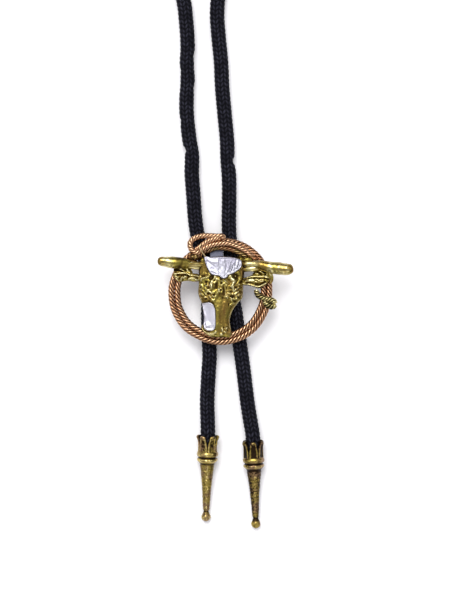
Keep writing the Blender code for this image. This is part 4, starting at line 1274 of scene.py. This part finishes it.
def drawn_relief(x, y, lines, masses):
    """Relief from tables of raised lines and round masses."""
    relief = np.zeros(np.shape(x))
    for mass in masses:
        rise = mass.rise if mass.rise > 0 else mass.rise * PIT_SHARE
        relief += rise * bump(x, mass.x, mass.half_x) * bump(y, mass.y, mass.half_y)
    for line in lines:
        bent = smooth_route([(px, py, 0.0) for px, py in line.route], 0.35)[:, :2]
        relief += line.height * bump(line_distance(x, y, bent.tolist()), 0.0, line.width)
    return relief


# Browner places of the face, and the dark seams beside the ears
BROWN_MASSES = table(
    Mass,
    (1.5, -7.5, 0.9, 4.5, 1.0), (0.0, -11.0, 0.6, 3.6, 0.8), (3.0, -5.2, 0.8, 1.6, 0.7),
    (-4.7, 2.2, 0.8, 1.2, 1.0), (-6.4, 6.7, 1.5, 0.55, 1.0), (7.4, 0.6, 1.3, 2.6, 0.8),
    (5.3, -2.1, 1.0, 0.8, 0.8), (3.4, -16.8, 1.2, 1.4, 1.0), (-5.0, -17.6, 1.6, 0.6, 0.8),
    (8.9, 8.0, 0.8, 2.6, 0.9), (-1.8, 1.8, 0.5, 1.2, 0.8),
)
FACE_SEAMS = table(
    Line,
    (0.36, 1.0, ((-8.3, 12.9), (-8.9, 10.4), (-8.9, 7.0), (-8.8, 4.4))),
    (0.50, 1.0, ((9.6, 12.4), (9.9, 9.5), (9.6, 6.4), (9.2, 4.2))),
)
# Places of the face made darker, or lighter where the rise is below zero: the strips beside the seams, the top
# of the nose bridge, a ring round each eye with a lighter middle, and the left cheek
DULL_MASSES = table(
    Mass,
    (8.4, 7.0, 0.9, 3.2, 0.3), (-7.9, 9.2, 0.6, 3.4, 0.22), (0.1, -1.9, 1.3, 1.3, 0.18),
    (-3.85, 5.6, 0.75, 0.75, 0.5), (-3.85, 5.6, 0.32, 0.32, -0.45), (6.2, 6.25, 0.95, 0.8, 0.6),
    (6.2, 6.25, 0.4, 0.34, -0.8), (-6.0, -0.6, 2.2, 2.4, 0.08),
)
LINE_SHARE = 0.7
LINE_SPREAD = 1.15


def face_relief(x, y):
    lines = [Line(line.width * LINE_SPREAD, line.height * LINE_SHARE, line.route) for line in FACE_LINES]
    relief = drawn_relief(x, y, lines, FACE_MASSES)
    curly = ease(y, -6.5, -3.5) * (1 - ease(y, 7.0, 9.0)) * ease(np.abs(x - 0.4), 2.0, 4.0)
    relief += curly * 0.18 * noise_over(x, y, 0.0, 0.85, 4.0)
    return relief + 0.05 * noise_over(x, y, 0.0, 0.8, 11.0) + 0.03 * noise_over(x, y, 0.0, 0.4, 21.0)


def face_grid(rows=226, columns=116):
    """The front of the face as a grid that ends on its outline."""
    y = np.linspace(13.98, -19.28, rows)
    left, right, *_ = face_table(y)
    share = (1 - np.cos(np.linspace(0, math.pi, columns))) / 2 * 0.5 + np.linspace(0, 1, columns) * 0.5
    x = left[:, None] + (right - left)[:, None] * share[None, :]
    return x, np.repeat(y[:, None], columns, 1)


def worn_from(height, width=6, gain=1.7, base=0.42):
    """How polished a relief is: its high places more than its low ones."""
    return np.clip(base + (height - blurred(height, width)) * gain, 0, 1)


def make_face():
    x, y = face_grid()
    plain = face_height(x, y)
    relief = face_relief(x, y)
    left, right, *_ = face_table(y)
    inside = ease(np.minimum(x - left, right - x), 0.0, 0.8)
    seams = drawn_relief(x, y, FACE_SEAMS, ())
    height = plain + relief * (0.25 + 0.75 * inside) - 0.3 * seams
    worn = worn_from(height)
    for plate in PLATES:
        room = plate_share(plate, x, y)
        height = np.where(room < 1.0, plain - POCKET_DEPTH * ease(1.06 - room, 0.0, 0.06), height)
        worn = worn - 0.1 * bump(room, 1.06, 0.07)
    low = BACK_Z + ease(np.hypot(x, y), *OVER_COIL_REACH) * (OVER_COIL_Z - BACK_Z)
    front = np.stack([x, y, height], axis=-1)
    back = np.stack([x, y, np.minimum(low, height - 0.3)], axis=-1)
    smooth_bridge = (1 - ease(y, -4.5, -2.0)) * ease(y, -15.0, -12.5)
    left_strip = ease(y, 5.5, 7.5) * (1 - ease(x, -5.5, -4.5))
    worn = worn - 0.1 * smooth_bridge - 0.14 * left_strip
    brown = np.clip(drawn_relief(x, y, FACE_SEAMS, BROWN_MASSES), 0, 1)
    worn = worn - 0.45 * seams - drawn_relief(x, y, (), DULL_MASSES)
    return closed_sheet("face", front, back, worn=(worn, 0.35), gilt=(brown, brown))


OutlinePoint = namedtuple("OutlinePoint", "x y")
FOREHEAD_OUTLINE = table(
    OutlinePoint,
    (-7.1, 15.1), (-6.9, 13.4), (-6.4, 11.5), (-5.6, 9.4), (-4.6, 7.6), (-3.4, 6.7), (-0.8, 6.2),
    (0.3, 5.4), (1.4, 5.1), (2.6, 5.5), (3.5, 6.6), (5.2, 7.2), (7.2, 8.4), (8.8, 9.8), (9.2, 11.0),
    (9.1, 12.6), (7.6, 13.6), (4.4, 14.3), (0.0, 14.5), (-4.6, 14.3),
)
MUZZLE_OUTLINE = table(
    OutlinePoint,
    (-7.7, -4.9), (-7.3, -7.5), (-6.9, -10.5), (-6.9, -12.6), (-7.1, -13.9), (-6.9, -15.4), (-5.6, -16.4),
    (-3.7, -16.6), (-2.3, -15.8), (-1.9, -13.5), (-1.9, -9.5), (-2.2, -7.0), (-3.2, -5.2), (-5.0, -4.4),
)
Plate = namedtuple("Plate", "name node outline centre_x centre_y follow_x follow_y polish")
PLATES = table(
    Plate,
    ("forehead_inlay", "forehead_plate", FOREHEAD_OUTLINE, 1.2, 10.8, 1.0, 0.62, 0.49),
    ("muzzle_inlay", "muzzle_plate", MUZZLE_OUTLINE, -4.5, -10.2, 0.45, -0.2, 0.71),
)


def plate_edge(plate, angle):
    """How far a plate's edge is from its centre, in each direction."""
    points = [(point.x, point.y, 0.0) for point in plate.outline]
    edge = smooth_route([*points, points[0]], 0.12)
    turned = np.arctan2(edge[:, 1] - plate.centre_y, edge[:, 0] - plate.centre_x)
    reach = np.hypot(edge[:, 0] - plate.centre_x, edge[:, 1] - plate.centre_y)
    order = np.argsort(turned)
    return np.interp(angle, turned[order], reach[order], period=math.tau)


def plate_share(plate, x, y):
    """0 at a plate's centre and 1 at its edge."""
    dx, dy = x - plate.centre_x, y - plate.centre_y
    return np.hypot(dx, dy) / plate_edge(plate, np.arctan2(dy, dx))


PLATE_LIP = 0.2
PLATE_RELIEF = 0.68
PLATE_AROUND = 240
PLATE_TOP_Y = 14.0
PLATE_SKIRT = 0.8
PLATE_RISE_LIMIT = 1.3
FOREHEAD_LINES = table(
    Line,
    (0.24, -0.30, ((3.1, 8.0), (3.8, 9.2), (4.3, 10.8), (4.4, 11.9))),
    (0.22, -0.26, ((4.5, 8.4), (5.2, 9.8), (5.5, 11.2))),
    (0.22, -0.28, ((5.9, 10.4), (6.3, 11.8), (6.4, 13.0))),
    (0.22, -0.22, ((7.3, 10.2), (7.7, 11.6), (7.9, 12.7))),
    (0.26, 0.20, ((3.8, 8.2), (4.6, 9.6), (5.0, 11.2))),
    (0.26, 0.18, ((6.6, 9.8), (7.0, 11.2), (7.2, 12.6))),
    (0.34, -0.08, ((-5.4, 12.6), (-3.8, 11.0), (-2.4, 10.2))),
    (0.60, 0.10, ((-5.8, 13.4), (-3.6, 12.4), (-1.4, 12.2))),
    (0.45, 0.16, ((-3.6, 8.6), (-2.4, 8.0), (-1.2, 7.4))),
    (0.40, -0.12, ((-0.6, 12.8), (-0.2, 10.8), (-0.4, 8.8))),
    (0.50, 0.14, ((1.2, 12.6), (1.5, 10.6), (1.2, 8.4), (1.3, 6.6))),
    (0.30, -0.14, ((2.2, 12.4), (2.5, 10.4), (2.2, 8.4))),
)
FOREHEAD_MASSES = table(
    Mass,
    (-4.2, 9.8, 1.2, 1.4, 0.12), (0.4, 10.2, 1.6, 1.8, -0.12), (8.2, 11.6, 0.8, 0.9, 0.15),
    (-6.0, 12.3, 0.35, 0.35, -0.35),
)
MUZZLE_LINES = table(
    Line,
    (0.50, 0.08, ((-3.0, -6.0), (-2.9, -10.0), (-2.9, -14.0))),
    (0.60, -0.08, ((-4.9, -7.0), (-4.7, -10.0), (-4.8, -12.5))),
)
MUZZLE_MASSES = table(
    Mass,
    (-5.6, -14.2, 0.95, 0.95, 0.66), (-6.1, -15.6, 0.45, 0.36, -0.5),
)


def make_plate(plate, lines, masses, facets):
    """An inlay: a domed sheet on the face, with a rounded edge that goes down into its pocket."""
    angle = np.arange(PLATE_AROUND) / PLATE_AROUND * math.tau
    edge = plate_edge(plate, angle)
    shares = np.concatenate([np.linspace(0.02, 0.86, 48), np.linspace(0.86, 1.0, 20)[1:]])[:, None]
    x = plate.centre_x + shares * edge * np.cos(angle)
    y = plate.centre_y + shares * edge * np.sin(angle)

    def face_under(x, y):
        return face_height(x, np.minimum(y, PLATE_TOP_Y))

    relief = drawn_relief(x, y, lines, masses) * PLATE_RELIEF
    relief += facets * noise_over(x * 1.6, y * 0.6, 0.0, 1.3, 31.0)
    relief += facets * 0.5 * noise_over(x * 2, y * 0.6, 0.0, 0.6, 41.0)
    inwards = (1 - shares) * edge
    flatter_x = plate.centre_x + (x - plate.centre_x) * plate.follow_x
    flatter_y = plate.centre_y + (y - plate.centre_y) * plate.follow_y
    top = face_under(flatter_x, flatter_y) + PLATE_PROUD + relief * ease(inwards, 0.1, 0.9)
    top = np.minimum(top, face_under(x, y) + PLATE_PROUD + PLATE_RISE_LIMIT)
    top = top + PLATE_LIP * bump(inwards, 0.55, 0.26) - 0.5 * (1 - ease(inwards, 0.0, 0.45)) ** 2
    skirt = np.stack([x[-1:], y[-1:], face_under(x[-1:], y[-1:]) - PLATE_SKIRT], axis=-1)
    grid = np.concatenate([np.stack([x, y, top], axis=-1), skirt])
    worn = plate.polish + relief * 0.8 + bump(inwards, 0.5, 0.4) * 0.15 - (1 - ease(inwards, 0.0, 0.3)) * 0.3
    worn = np.concatenate([np.clip(worn, 0, 1), np.full((1, PLATE_AROUND), 0.1)])
    piece = new_piece(plate.name, grid, tube_faces(len(grid), PLATE_AROUND), worn=worn)
    return dress(piece, SILVER, "silver", plate.node)


# On the horns, their ridge and the ear hook, the polish column is mostly painted reflection: dark bands and
# bright highlight bands along them.
HornPoint = namedtuple("HornPoint", "x y z diameter worn brown", defaults=(0.0,))
LEFT_HORN = table(
    HornPoint,
    (-7.0, 11.3, 11.9, 2.0, 0.40), (-9.6, 11.2, 12.1, 2.6, 0.62), (-12.2, 11.4, 12.4, 3.2, 0.62),
    (-14.4, 11.7, 12.8, 4.0, 0.42), (-16.6, 11.8, 13.0, 4.6, 0.24), (-18.6, 11.85, 13.2, 5.0, 0.34),
    (-20.4, 12.0, 13.4, 4.9, 0.72), (-22.8, 12.3, 13.6, 4.3, 0.78), (-24.6, 12.45, 13.9, 3.9, 0.62, 0.3),
    (-25.7, 12.45, 14.0, 2.9, 0.38, 1.0), (-26.15, 12.45, 14.0, 1.2, 0.34, 1.0),
)
LEFT_HORN_ROOT = table(
    HornPoint,
    (-16.0, 10.8, 12.4, 1.2, 0.30), (-13.6, 10.6, 12.4, 2.2, 0.50), (-11.6, 10.2, 12.3, 2.0, 0.80),
    (-10.0, 9.8, 12.2, 1.7, 0.85), (-8.9, 9.5, 12.0, 1.4, 0.60),
)
LEFT_HORN_RIDGE = table(
    HornPoint,
    (-14.8, 12.1, 14.2, 0.5, 0.60), (-13.2, 11.95, 13.85, 0.9, 0.95), (-11.2, 11.85, 13.1, 0.9, 0.95),
    (-9.2, 11.8, 12.6, 0.9, 0.90), (-8.0, 11.75, 12.3, 0.8, 0.60),
)
RIGHT_HORN = table(
    HornPoint,
    (8.6, 11.3, 11.8, 2.0, 0.20, 1.0), (10.0, 11.4, 12.0, 2.3, 0.30, 0.8), (11.3, 11.4, 12.3, 2.7, 0.85),
    (14.2, 11.2, 12.7, 3.2, 0.80), (16.4, 10.9, 13.0, 4.0, 0.55), (18.4, 10.4, 13.2, 4.6, 0.46),
    (20.6, 9.85, 13.4, 4.9, 0.72), (23.6, 9.55, 13.7, 5.2, 0.62), (27.2, 9.15, 14.1, 4.95, 0.72),
    (29.2, 9.25, 14.3, 4.1, 0.50, 0.3), (30.0, 9.3, 14.4, 2.8, 0.40, 1.0),
    (30.3, 9.35, 14.4, 1.3, 0.36, 1.0),
)
RIGHT_HORN_ROOT = table(
    HornPoint,
    (17.4, 9.4, 12.6, 1.4, 0.45), (15.0, 9.5, 12.6, 2.4, 0.62), (12.8, 9.4, 12.5, 2.5, 0.85),
    (11.2, 9.2, 12.3, 2.2, 0.70), (10.0, 9.0, 12.0, 2.1, 0.28, 0.8), (8.8, 8.8, 11.7, 2.0, 0.18, 1.0),
)
EAR_HOOK = table(
    HornPoint,
    (20.2, 8.1, 12.3, 1.1, 0.40), (21.0, 7.0, 12.3, 1.5, 0.80), (21.4, 5.6, 12.2, 1.4, 0.45),
    (21.2, 4.2, 12.0, 1.3, 0.60), (20.5, 3.2, 11.8, 0.8, 0.40),
)


# Ears and the hair over them, from end to end: edges seen from above, middle and half of the thickness
LeafRow = namedtuple("LeafRow", "x low high z half")
LEFT_EAR = table(
    LeafRow,
    (-7.8, 4.6, 6.8, 11.6, 0.9), (-9.6, 4.0, 7.2, 11.8, 1.0), (-11.5, 4.0, 7.5, 12.0, 1.1),
    (-13.4, 4.3, 7.8, 12.0, 1.1), (-15.0, 4.2, 8.1, 12.0, 1.1), (-16.4, 3.8, 8.1, 12.0, 1.1),
    (-17.7, 4.1, 8.1, 12.0, 1.0), (-18.8, 5.2, 8.0, 12.0, 0.9), (-19.8, 6.4, 7.3, 11.9, 0.5),
)
LEFT_EAR_LINES = table(
    Line,
    (0.32, 0.60, ((-18.9, 7.3), (-17.2, 7.7), (-15.2, 7.75), (-13.6, 7.2), (-12.7, 6.5))),
    (0.30, -0.75, ((-17.8, 6.8), (-16.0, 6.75), (-14.2, 6.9), (-13.1, 6.3))),
    (0.34, 0.50, ((-15.3, 5.4), (-14.9, 6.0), (-14.2, 6.3))),
    (0.30, 0.50, ((-16.4, 4.4), (-16.3, 5.2), (-16.0, 5.9))),
    (0.30, 0.50, ((-18.3, 5.0), (-17.9, 4.3), (-17.6, 4.0))),
    (0.28, 0.35, ((-18.6, 6.1), (-17.6, 5.7))),
    (0.40, 0.55, ((-13.3, 5.1), (-12.0, 5.5), (-10.7, 5.4))),
    (0.34, 0.50, ((-10.2, 4.7), (-9.3, 4.6))),
    (0.30, 0.32, ((-12.0, 6.7), (-10.6, 6.5), (-9.2, 6.2))),
    (0.24, -0.50, ((-17.3, 4.9), (-16.9, 5.9))),
    (0.22, -0.45, ((-15.7, 4.4), (-15.4, 5.2))),
    (0.24, -0.45, ((-13.9, 5.0), (-13.5, 5.9))),
    (0.22, -0.45, ((-12.7, 6.1), (-10.4, 6.0), (-9.3, 5.4))),
)
LEFT_TUFT = table(
    LeafRow,
    (-11.6, 7.2, 8.1, 11.8, 0.4), (-12.6, 7.0, 9.7, 12.0, 0.9), (-14.2, 7.4, 10.2, 12.0, 1.0),
    (-16.2, 7.6, 10.3, 12.0, 1.0), (-18.2, 7.6, 10.2, 12.0, 1.0), (-19.5, 7.8, 9.4, 11.9, 0.5),
)
LEFT_TUFT_LINES = table(
    Line,
    (0.30, 0.55, ((-16.8, 9.3), (-15.9, 8.8), (-15.2, 8.5))),
    (0.28, 0.55, ((-14.1, 9.4), (-13.7, 8.9), (-13.9, 8.2))),
    (0.28, 0.45, ((-13.3, 8.4), (-12.6, 7.6))),
    (0.26, -0.55, ((-16.9, 8.6), (-16.0, 8.2), (-15.4, 8.1))),
    (0.26, -0.55, ((-15.2, 9.3), (-14.7, 8.9), (-14.5, 8.3))),
    (0.26, -0.50, ((-13.0, 9.2), (-12.4, 8.7))),
    (0.60, -1.00, ((-18.8, 8.8), (-17.8, 8.9))),
)
RIGHT_EAR = table(
    LeafRow,
    (8.0, 3.1, 4.5, 10.9, 0.5), (9.8, 2.5, 4.9, 11.4, 0.7), (11.8, 2.3, 5.4, 11.9, 1.0),
    (14.0, 1.7, 5.4, 12.0, 1.1), (16.0, 1.2, 5.4, 12.0, 1.1), (17.6, 1.8, 5.4, 12.0, 1.0),
    (18.9, 2.8, 5.2, 12.0, 0.9), (20.3, 4.2, 4.9, 11.9, 0.5),
)
RIGHT_EAR_LINES = table(
    Line,
    (0.29, 0.50, ((9.2, 3.2), (10.2, 2.9), (11.7, 2.8), (13.4, 2.3), (16.0, 1.9), (17.6, 2.6), (18.9, 3.5))),
    (0.55, 0.32, ((10.4, 4.2), (12.2, 4.4), (13.8, 4.5), (15.2, 4.0))),
    (0.28, 0.40, ((15.8, 4.6), (16.8, 4.2), (17.8, 4.3))),
    (0.24, 0.28, ((10.6, 5.0), (14.0, 5.1), (18.0, 5.0))),
    (0.40, -0.60, ((14.4, 3.0), (16.6, 2.9), (18.6, 3.9))),
    (0.26, -0.45, ((14.6, 4.6), (15.3, 4.3))),
    (0.28, -0.45, ((10.6, 3.6), (12.4, 3.6), (13.6, 3.2))),
)
RIGHT_FOLD = table(
    LeafRow,
    (9.4, 4.9, 5.5, 11.8, 0.5), (11.4, 5.2, 6.1, 12.0, 0.8), (13.4, 5.3, 6.9, 12.1, 0.9),
    (16.0, 5.3, 7.0, 12.2, 1.0), (18.6, 5.1, 7.0, 12.2, 1.0), (20.4, 4.9, 6.7, 12.1, 0.8),
    (21.2, 5.2, 6.0, 12.0, 0.4),
)
RIGHT_FOLD_LINES = table(
    Line,
    (0.36, 0.45, ((10.8, 5.6), (13.2, 6.1), (16.6, 6.1), (19.4, 6.4))),
    (0.30, -0.55, ((11.6, 5.3), (14.4, 5.4), (17.6, 5.3), (20.0, 5.0))),
    (0.26, 0.35, ((18.8, 5.6), (20.0, 5.7))),
)
RIGHT_TUFT = table(
    LeafRow,
    (13.4, 6.7, 7.4, 11.8, 0.4), (14.6, 6.6, 8.7, 12.0, 0.9), (16.4, 6.6, 9.2, 12.0, 1.0),
    (18.4, 6.5, 9.2, 12.0, 1.0), (19.8, 6.4, 8.6, 11.9, 0.8), (20.6, 6.8, 7.8, 11.8, 0.4),
)
RIGHT_TUFT_LINES = table(
    Line,
    (0.32, 0.50, ((14.6, 7.4), (15.1, 7.1), (15.7, 7.2))),
    (0.28, 0.60, ((16.4, 8.2), (17.2, 7.9), (17.9, 7.2))),
    (0.28, 0.45, ((19.0, 7.6), (19.4, 6.9))),
    (0.28, -0.60, ((15.3, 8.2), (16.2, 7.5), (17.0, 7.0))),
    (0.40, -0.70, ((17.6, 8.5), (18.6, 8.0), (18.8, 7.3))),
    (0.28, -0.45, ((14.0, 8.0), (14.6, 8.3))),
)
# Small cast masses between the inlay, the horns and the rope: centre, half sizes and how polished
HEAD_LUMPS = table(
    Lump,
    ((-7.4, 12.9, 11.3), (1.1, 1.35, 1.5), 0.45),
    ((11.2, 13.1, 11.7), (1.9, 1.15, 1.3), 0.5),
    ((8.7, 13.2, 11.4), (1.3, 1.2, 1.3), 0.28),
    ((8.3, 14.4, 10.4), (1.2, 0.7, 0.9), 0.16),
    # The last lump, under the left horn, is there for a second highlight; its high polish value is partly a
    # painted highlight.
    ((-21.0, 10.75, 14.9), (1.2, 0.42, 0.45), 0.8),
)
LEAF_STEP = 0.15
LEAF_COLUMNS = 36


def make_leaf(name, rows, lines, shade, seed):
    """An ear or a lock: a leaf-shaped solid with raised and sunk lines on its front."""
    read = smooth_route([(row.x, 0.0, 0.0, *row[1:]) for row in rows], LEAF_STEP)
    x, _, _, low, high, z, half = read.T[:, :, None]
    across = np.sin(np.linspace(-math.pi / 2, math.pi / 2, LEAF_COLUMNS))
    y = (low + high) / 2 + (high - low) / 2 * across
    wide = x + across * 0
    edge = np.sqrt(np.clip(1 - across**2, 0, 1))[None, :]
    relief = drawn_relief(wide, y, lines, ()) + 0.1 * noise_over(wide, y, 0.0, 0.7, seed)
    top = z + edge**0.7 * half + relief * edge
    bottom = np.maximum(z - edge * half, OVER_COIL_Z)
    front = np.stack([wide, y, np.maximum(top, bottom + 0.05)], axis=-1)
    back = np.stack([wide, y, bottom], axis=-1)
    worn = np.clip(0.5 + shade + relief * 0.95, 0, 1)
    return closed_sheet(name, front, back, worn=(worn, 0.3))


def make_head():
    pieces = [make_face()]
    for name, rows, seed in (
        ("left_horn", LEFT_HORN, 5.0),
        ("right_horn", RIGHT_HORN, 8.0),
        ("left_horn_root", LEFT_HORN_ROOT, 15.0),
        ("left_horn_ridge", LEFT_HORN_RIDGE, 16.0),
        ("right_horn_root", RIGHT_HORN_ROOT, 18.0),
        ("ear_hook", EAR_HOOK, 28.0),
    ):
        pieces.append(swept(name, rows, 0.22, 48, 0.05, seed))
    for name, rows, lines, shade in (
        ("left_ear", LEFT_EAR, LEFT_EAR_LINES, 0.07),
        ("left_tuft", LEFT_TUFT, LEFT_TUFT_LINES, 0.07),
        ("right_ear", RIGHT_EAR, RIGHT_EAR_LINES, 0.0),
        ("right_fold", RIGHT_FOLD, RIGHT_FOLD_LINES, 0.03),
        ("right_tuft", RIGHT_TUFT, RIGHT_TUFT_LINES, 0.03),
    ):
        pieces.append(make_leaf(name, rows, lines, shade, len(pieces) * 7.0))
    for row in HEAD_LUMPS:
        pieces.append(lump("head_lump", *row, seed=len(pieces) * 3.0, rough=0.16))
    return dress(joined("steer_head_casting", pieces), BRASS, "antique_brass", "steer_head")


make_head()
make_plate(PLATES[0], FOREHEAD_LINES, FOREHEAD_MASSES, 0.07)
make_plate(PLATES[1], MUZZLE_LINES, MUZZLE_MASSES, 0.02)

# ---- clip ----

CLIP_EDGE = 0.25
CLIP_ARC_STEPS = 32
CLIP_LEFT_X = -8.75
CLIP_RIGHT_X = 9.15
CHANNEL_RADIUS = 3.35
TAB_LEFT_X = -4.4
TAB_RIGHT_X = 1.1
TAB_TOP_Y = 18.2
TAB_TOP_Z = 8.28
TAB_THICKNESS = 0.8
TAB_EDGE = 0.2
TAB_CORNER = 1.2
CLIP_MERGE = 0.004


def arc(centre_x, centre_y, radius, first, last, steps):
    angles = np.radians(np.linspace(first, last, steps))
    return [(centre_x + radius * math.cos(a), centre_y + radius * math.sin(a)) for a in angles]


def flat_solid(name, outlines, thickness, edge):
    """A flat outline with holes, thickened and round-edged, as a mesh about its own middle."""
    curve = bpy.data.curves.new(name, "CURVE")
    curve.dimensions = "2D"
    curve.fill_mode = "BOTH"
    curve.extrude = (thickness / 2 - edge) * MM
    curve.bevel_depth = edge * MM
    curve.bevel_resolution = 3
    curve.offset = -edge * MM
    for outline in outlines:
        spline = curve.splines.new("POLY")
        spline.points.add(len(outline) - 1)
        spline.use_cyclic_u = True
        for point, place in zip(spline.points, outline):
            point.co = (place[0] * MM, place[1] * MM, 0.0, 1.0)
    mesh = plain_mesh(new_object(name, curve))
    tidy_mesh(mesh, CLIP_MERGE)
    return new_object(name, mesh)


def make_clip():
    """The clip: a block with round sides, a sleeve for each side of the cord, and the tab behind the coil."""
    radius = SLEEVE_Z
    left, right = CLIP_LEFT_X + radius, CLIP_RIGHT_X - radius
    outer = arc(right, 0.0, radius, -90, 90, CLIP_ARC_STEPS) + arc(left, 0.0, radius, 90, 270, CLIP_ARC_STEPS)
    holes = [arc(x, 0.0, CHANNEL_RADIUS, 360, 8, 44) for x in (SLEEVE_LEFT_X, SLEEVE_RIGHT_X)]
    block = flat_solid("clip_block", [outer, *holes], SLEEVE_HIGH_Y - SLEEVE_LOW_Y, CLIP_EDGE)
    stand = Matrix.Rotation(math.pi / 2, 4, "X")
    middle = Vector((0.0, (SLEEVE_LOW_Y + SLEEVE_HIGH_Y) / 2, SLEEVE_Z)) * MM
    block.data.transform(Matrix.Translation(middle) @ stand)
    tab_outline = [(TAB_LEFT_X, SLEEVE_JOIN_Y), (TAB_RIGHT_X, SLEEVE_JOIN_Y)]
    for x, first in ((TAB_RIGHT_X - TAB_CORNER, 0), (TAB_LEFT_X + TAB_CORNER, 90)):
        tab_outline += arc(x, TAB_TOP_Y - TAB_CORNER, TAB_CORNER, first, first + 90, 10)
    tab = flat_solid("clip_tab", [tab_outline], TAB_THICKNESS, TAB_EDGE)
    tab.data.transform(Matrix.Translation(Vector((0.0, 0.0, TAB_TOP_Z - TAB_THICKNESS / 2)) * MM))
    clip = joined("cord_clip", [block, tab])
    return dress(clip, NICKEL, "nickel", "back_clip")


make_clip()

# ---- studio ----

FLOOR_Z = -0.1
FLOOR_SIZE = 3000.0

# Soft panes of light round the tie: compass angle from +X, angle from straight up, where each starts to
# fade and where it ends, strength and tint
Pane = namedtuple("Pane", "compass tilt full faded strength tint")
PANES = table(
    Pane,
    (0.0, 0.0, 52.0, 76.0, 0.59, (0.99, 0.98, 1.0)),
    (0.0, 0.0, 7.0, 18.0, -0.44, (1.0, 1.0, 1.0)),
    (103.0, 31.0, 11.0, 22.0, 7.0, (1.0, 0.99, 0.98)),
    (103.0, 34.0, 16.0, 46.0, 0.65, (1.0, 0.99, 0.99)),
    (185.0, 55.0, 8.0, 20.0, 1.4, (1.0, 0.99, 0.98)),
    (5.0, 56.0, 8.0, 20.0, 1.1, (0.97, 0.97, 1.0)),
    (-85.0, 55.0, 6.0, 18.0, 0.7, (0.97, 0.97, 1.0)),
    (-80.0, 66.0, 12.0, 34.0, 0.8, (0.99, 0.99, 1.0)),
)
ROOM_LIGHT = (0.09, 0.088, 0.1)


def set_studio():
    world = bpy.data.worlds.new("studio")
    SCENE.world = world
    world.use_nodes = True
    tree = world.node_tree
    background = tree.nodes["Background"]
    where = tree.nodes.new("ShaderNodeTexCoord")
    light = (*ROOM_LIGHT, 1.0)
    for pane in PANES:
        compass, tilt = math.radians(pane.compass), math.radians(pane.tilt)
        towards = (math.sin(tilt) * math.cos(compass), math.sin(tilt) * math.sin(compass), math.cos(tilt))
        facing = tree.nodes.new("ShaderNodeVectorMath")
        facing.operation = "DOT_PRODUCT"
        tree.links.new(where.outputs["Generated"], facing.inputs[0])
        facing.inputs[1].default_value = towards
        faded, full = math.cos(math.radians(pane.faded)), math.cos(math.radians(pane.full))
        share = ranged(tree, facing.outputs["Value"], faded, full)
        added = tree.nodes.new("ShaderNodeVectorMath")
        added.operation = "MULTIPLY_ADD"
        wire(tree, added.inputs[0], [level * pane.strength for level in pane.tint])
        tree.links.new(share, added.inputs[1])
        wire(tree, added.inputs[2], light if isinstance(light, bpy.types.NodeSocket) else light[:3])
        light = added.outputs[0]
    tree.links.new(light, background.inputs["Color"])
    background.inputs["Strength"].default_value = 1.0
    mesh = bpy.data.meshes.new("floor")
    half = FLOOR_SIZE / 2
    corners = [(-half, -half, FLOOR_Z), (half, -half, FLOOR_Z), (half, half, FLOOR_Z), (-half, half, FLOOR_Z)]
    mesh.from_pydata([tuple(value * MM for value in corner) for corner in corners], [], [(0, 1, 2, 3)])
    floor = new_object("floor", mesh)
    material, _, shader = new_material("pale_floor")
    shader.inputs["Base Color"].default_value = (0.96, 0.96, 0.975, 1.0)
    shader.inputs["Roughness"].default_value = 0.9
    shader.inputs["Specular IOR Level"].default_value = 0.1
    mesh.materials.append(material)


set_studio()
SCENE.view_settings.view_transform = "Standard"
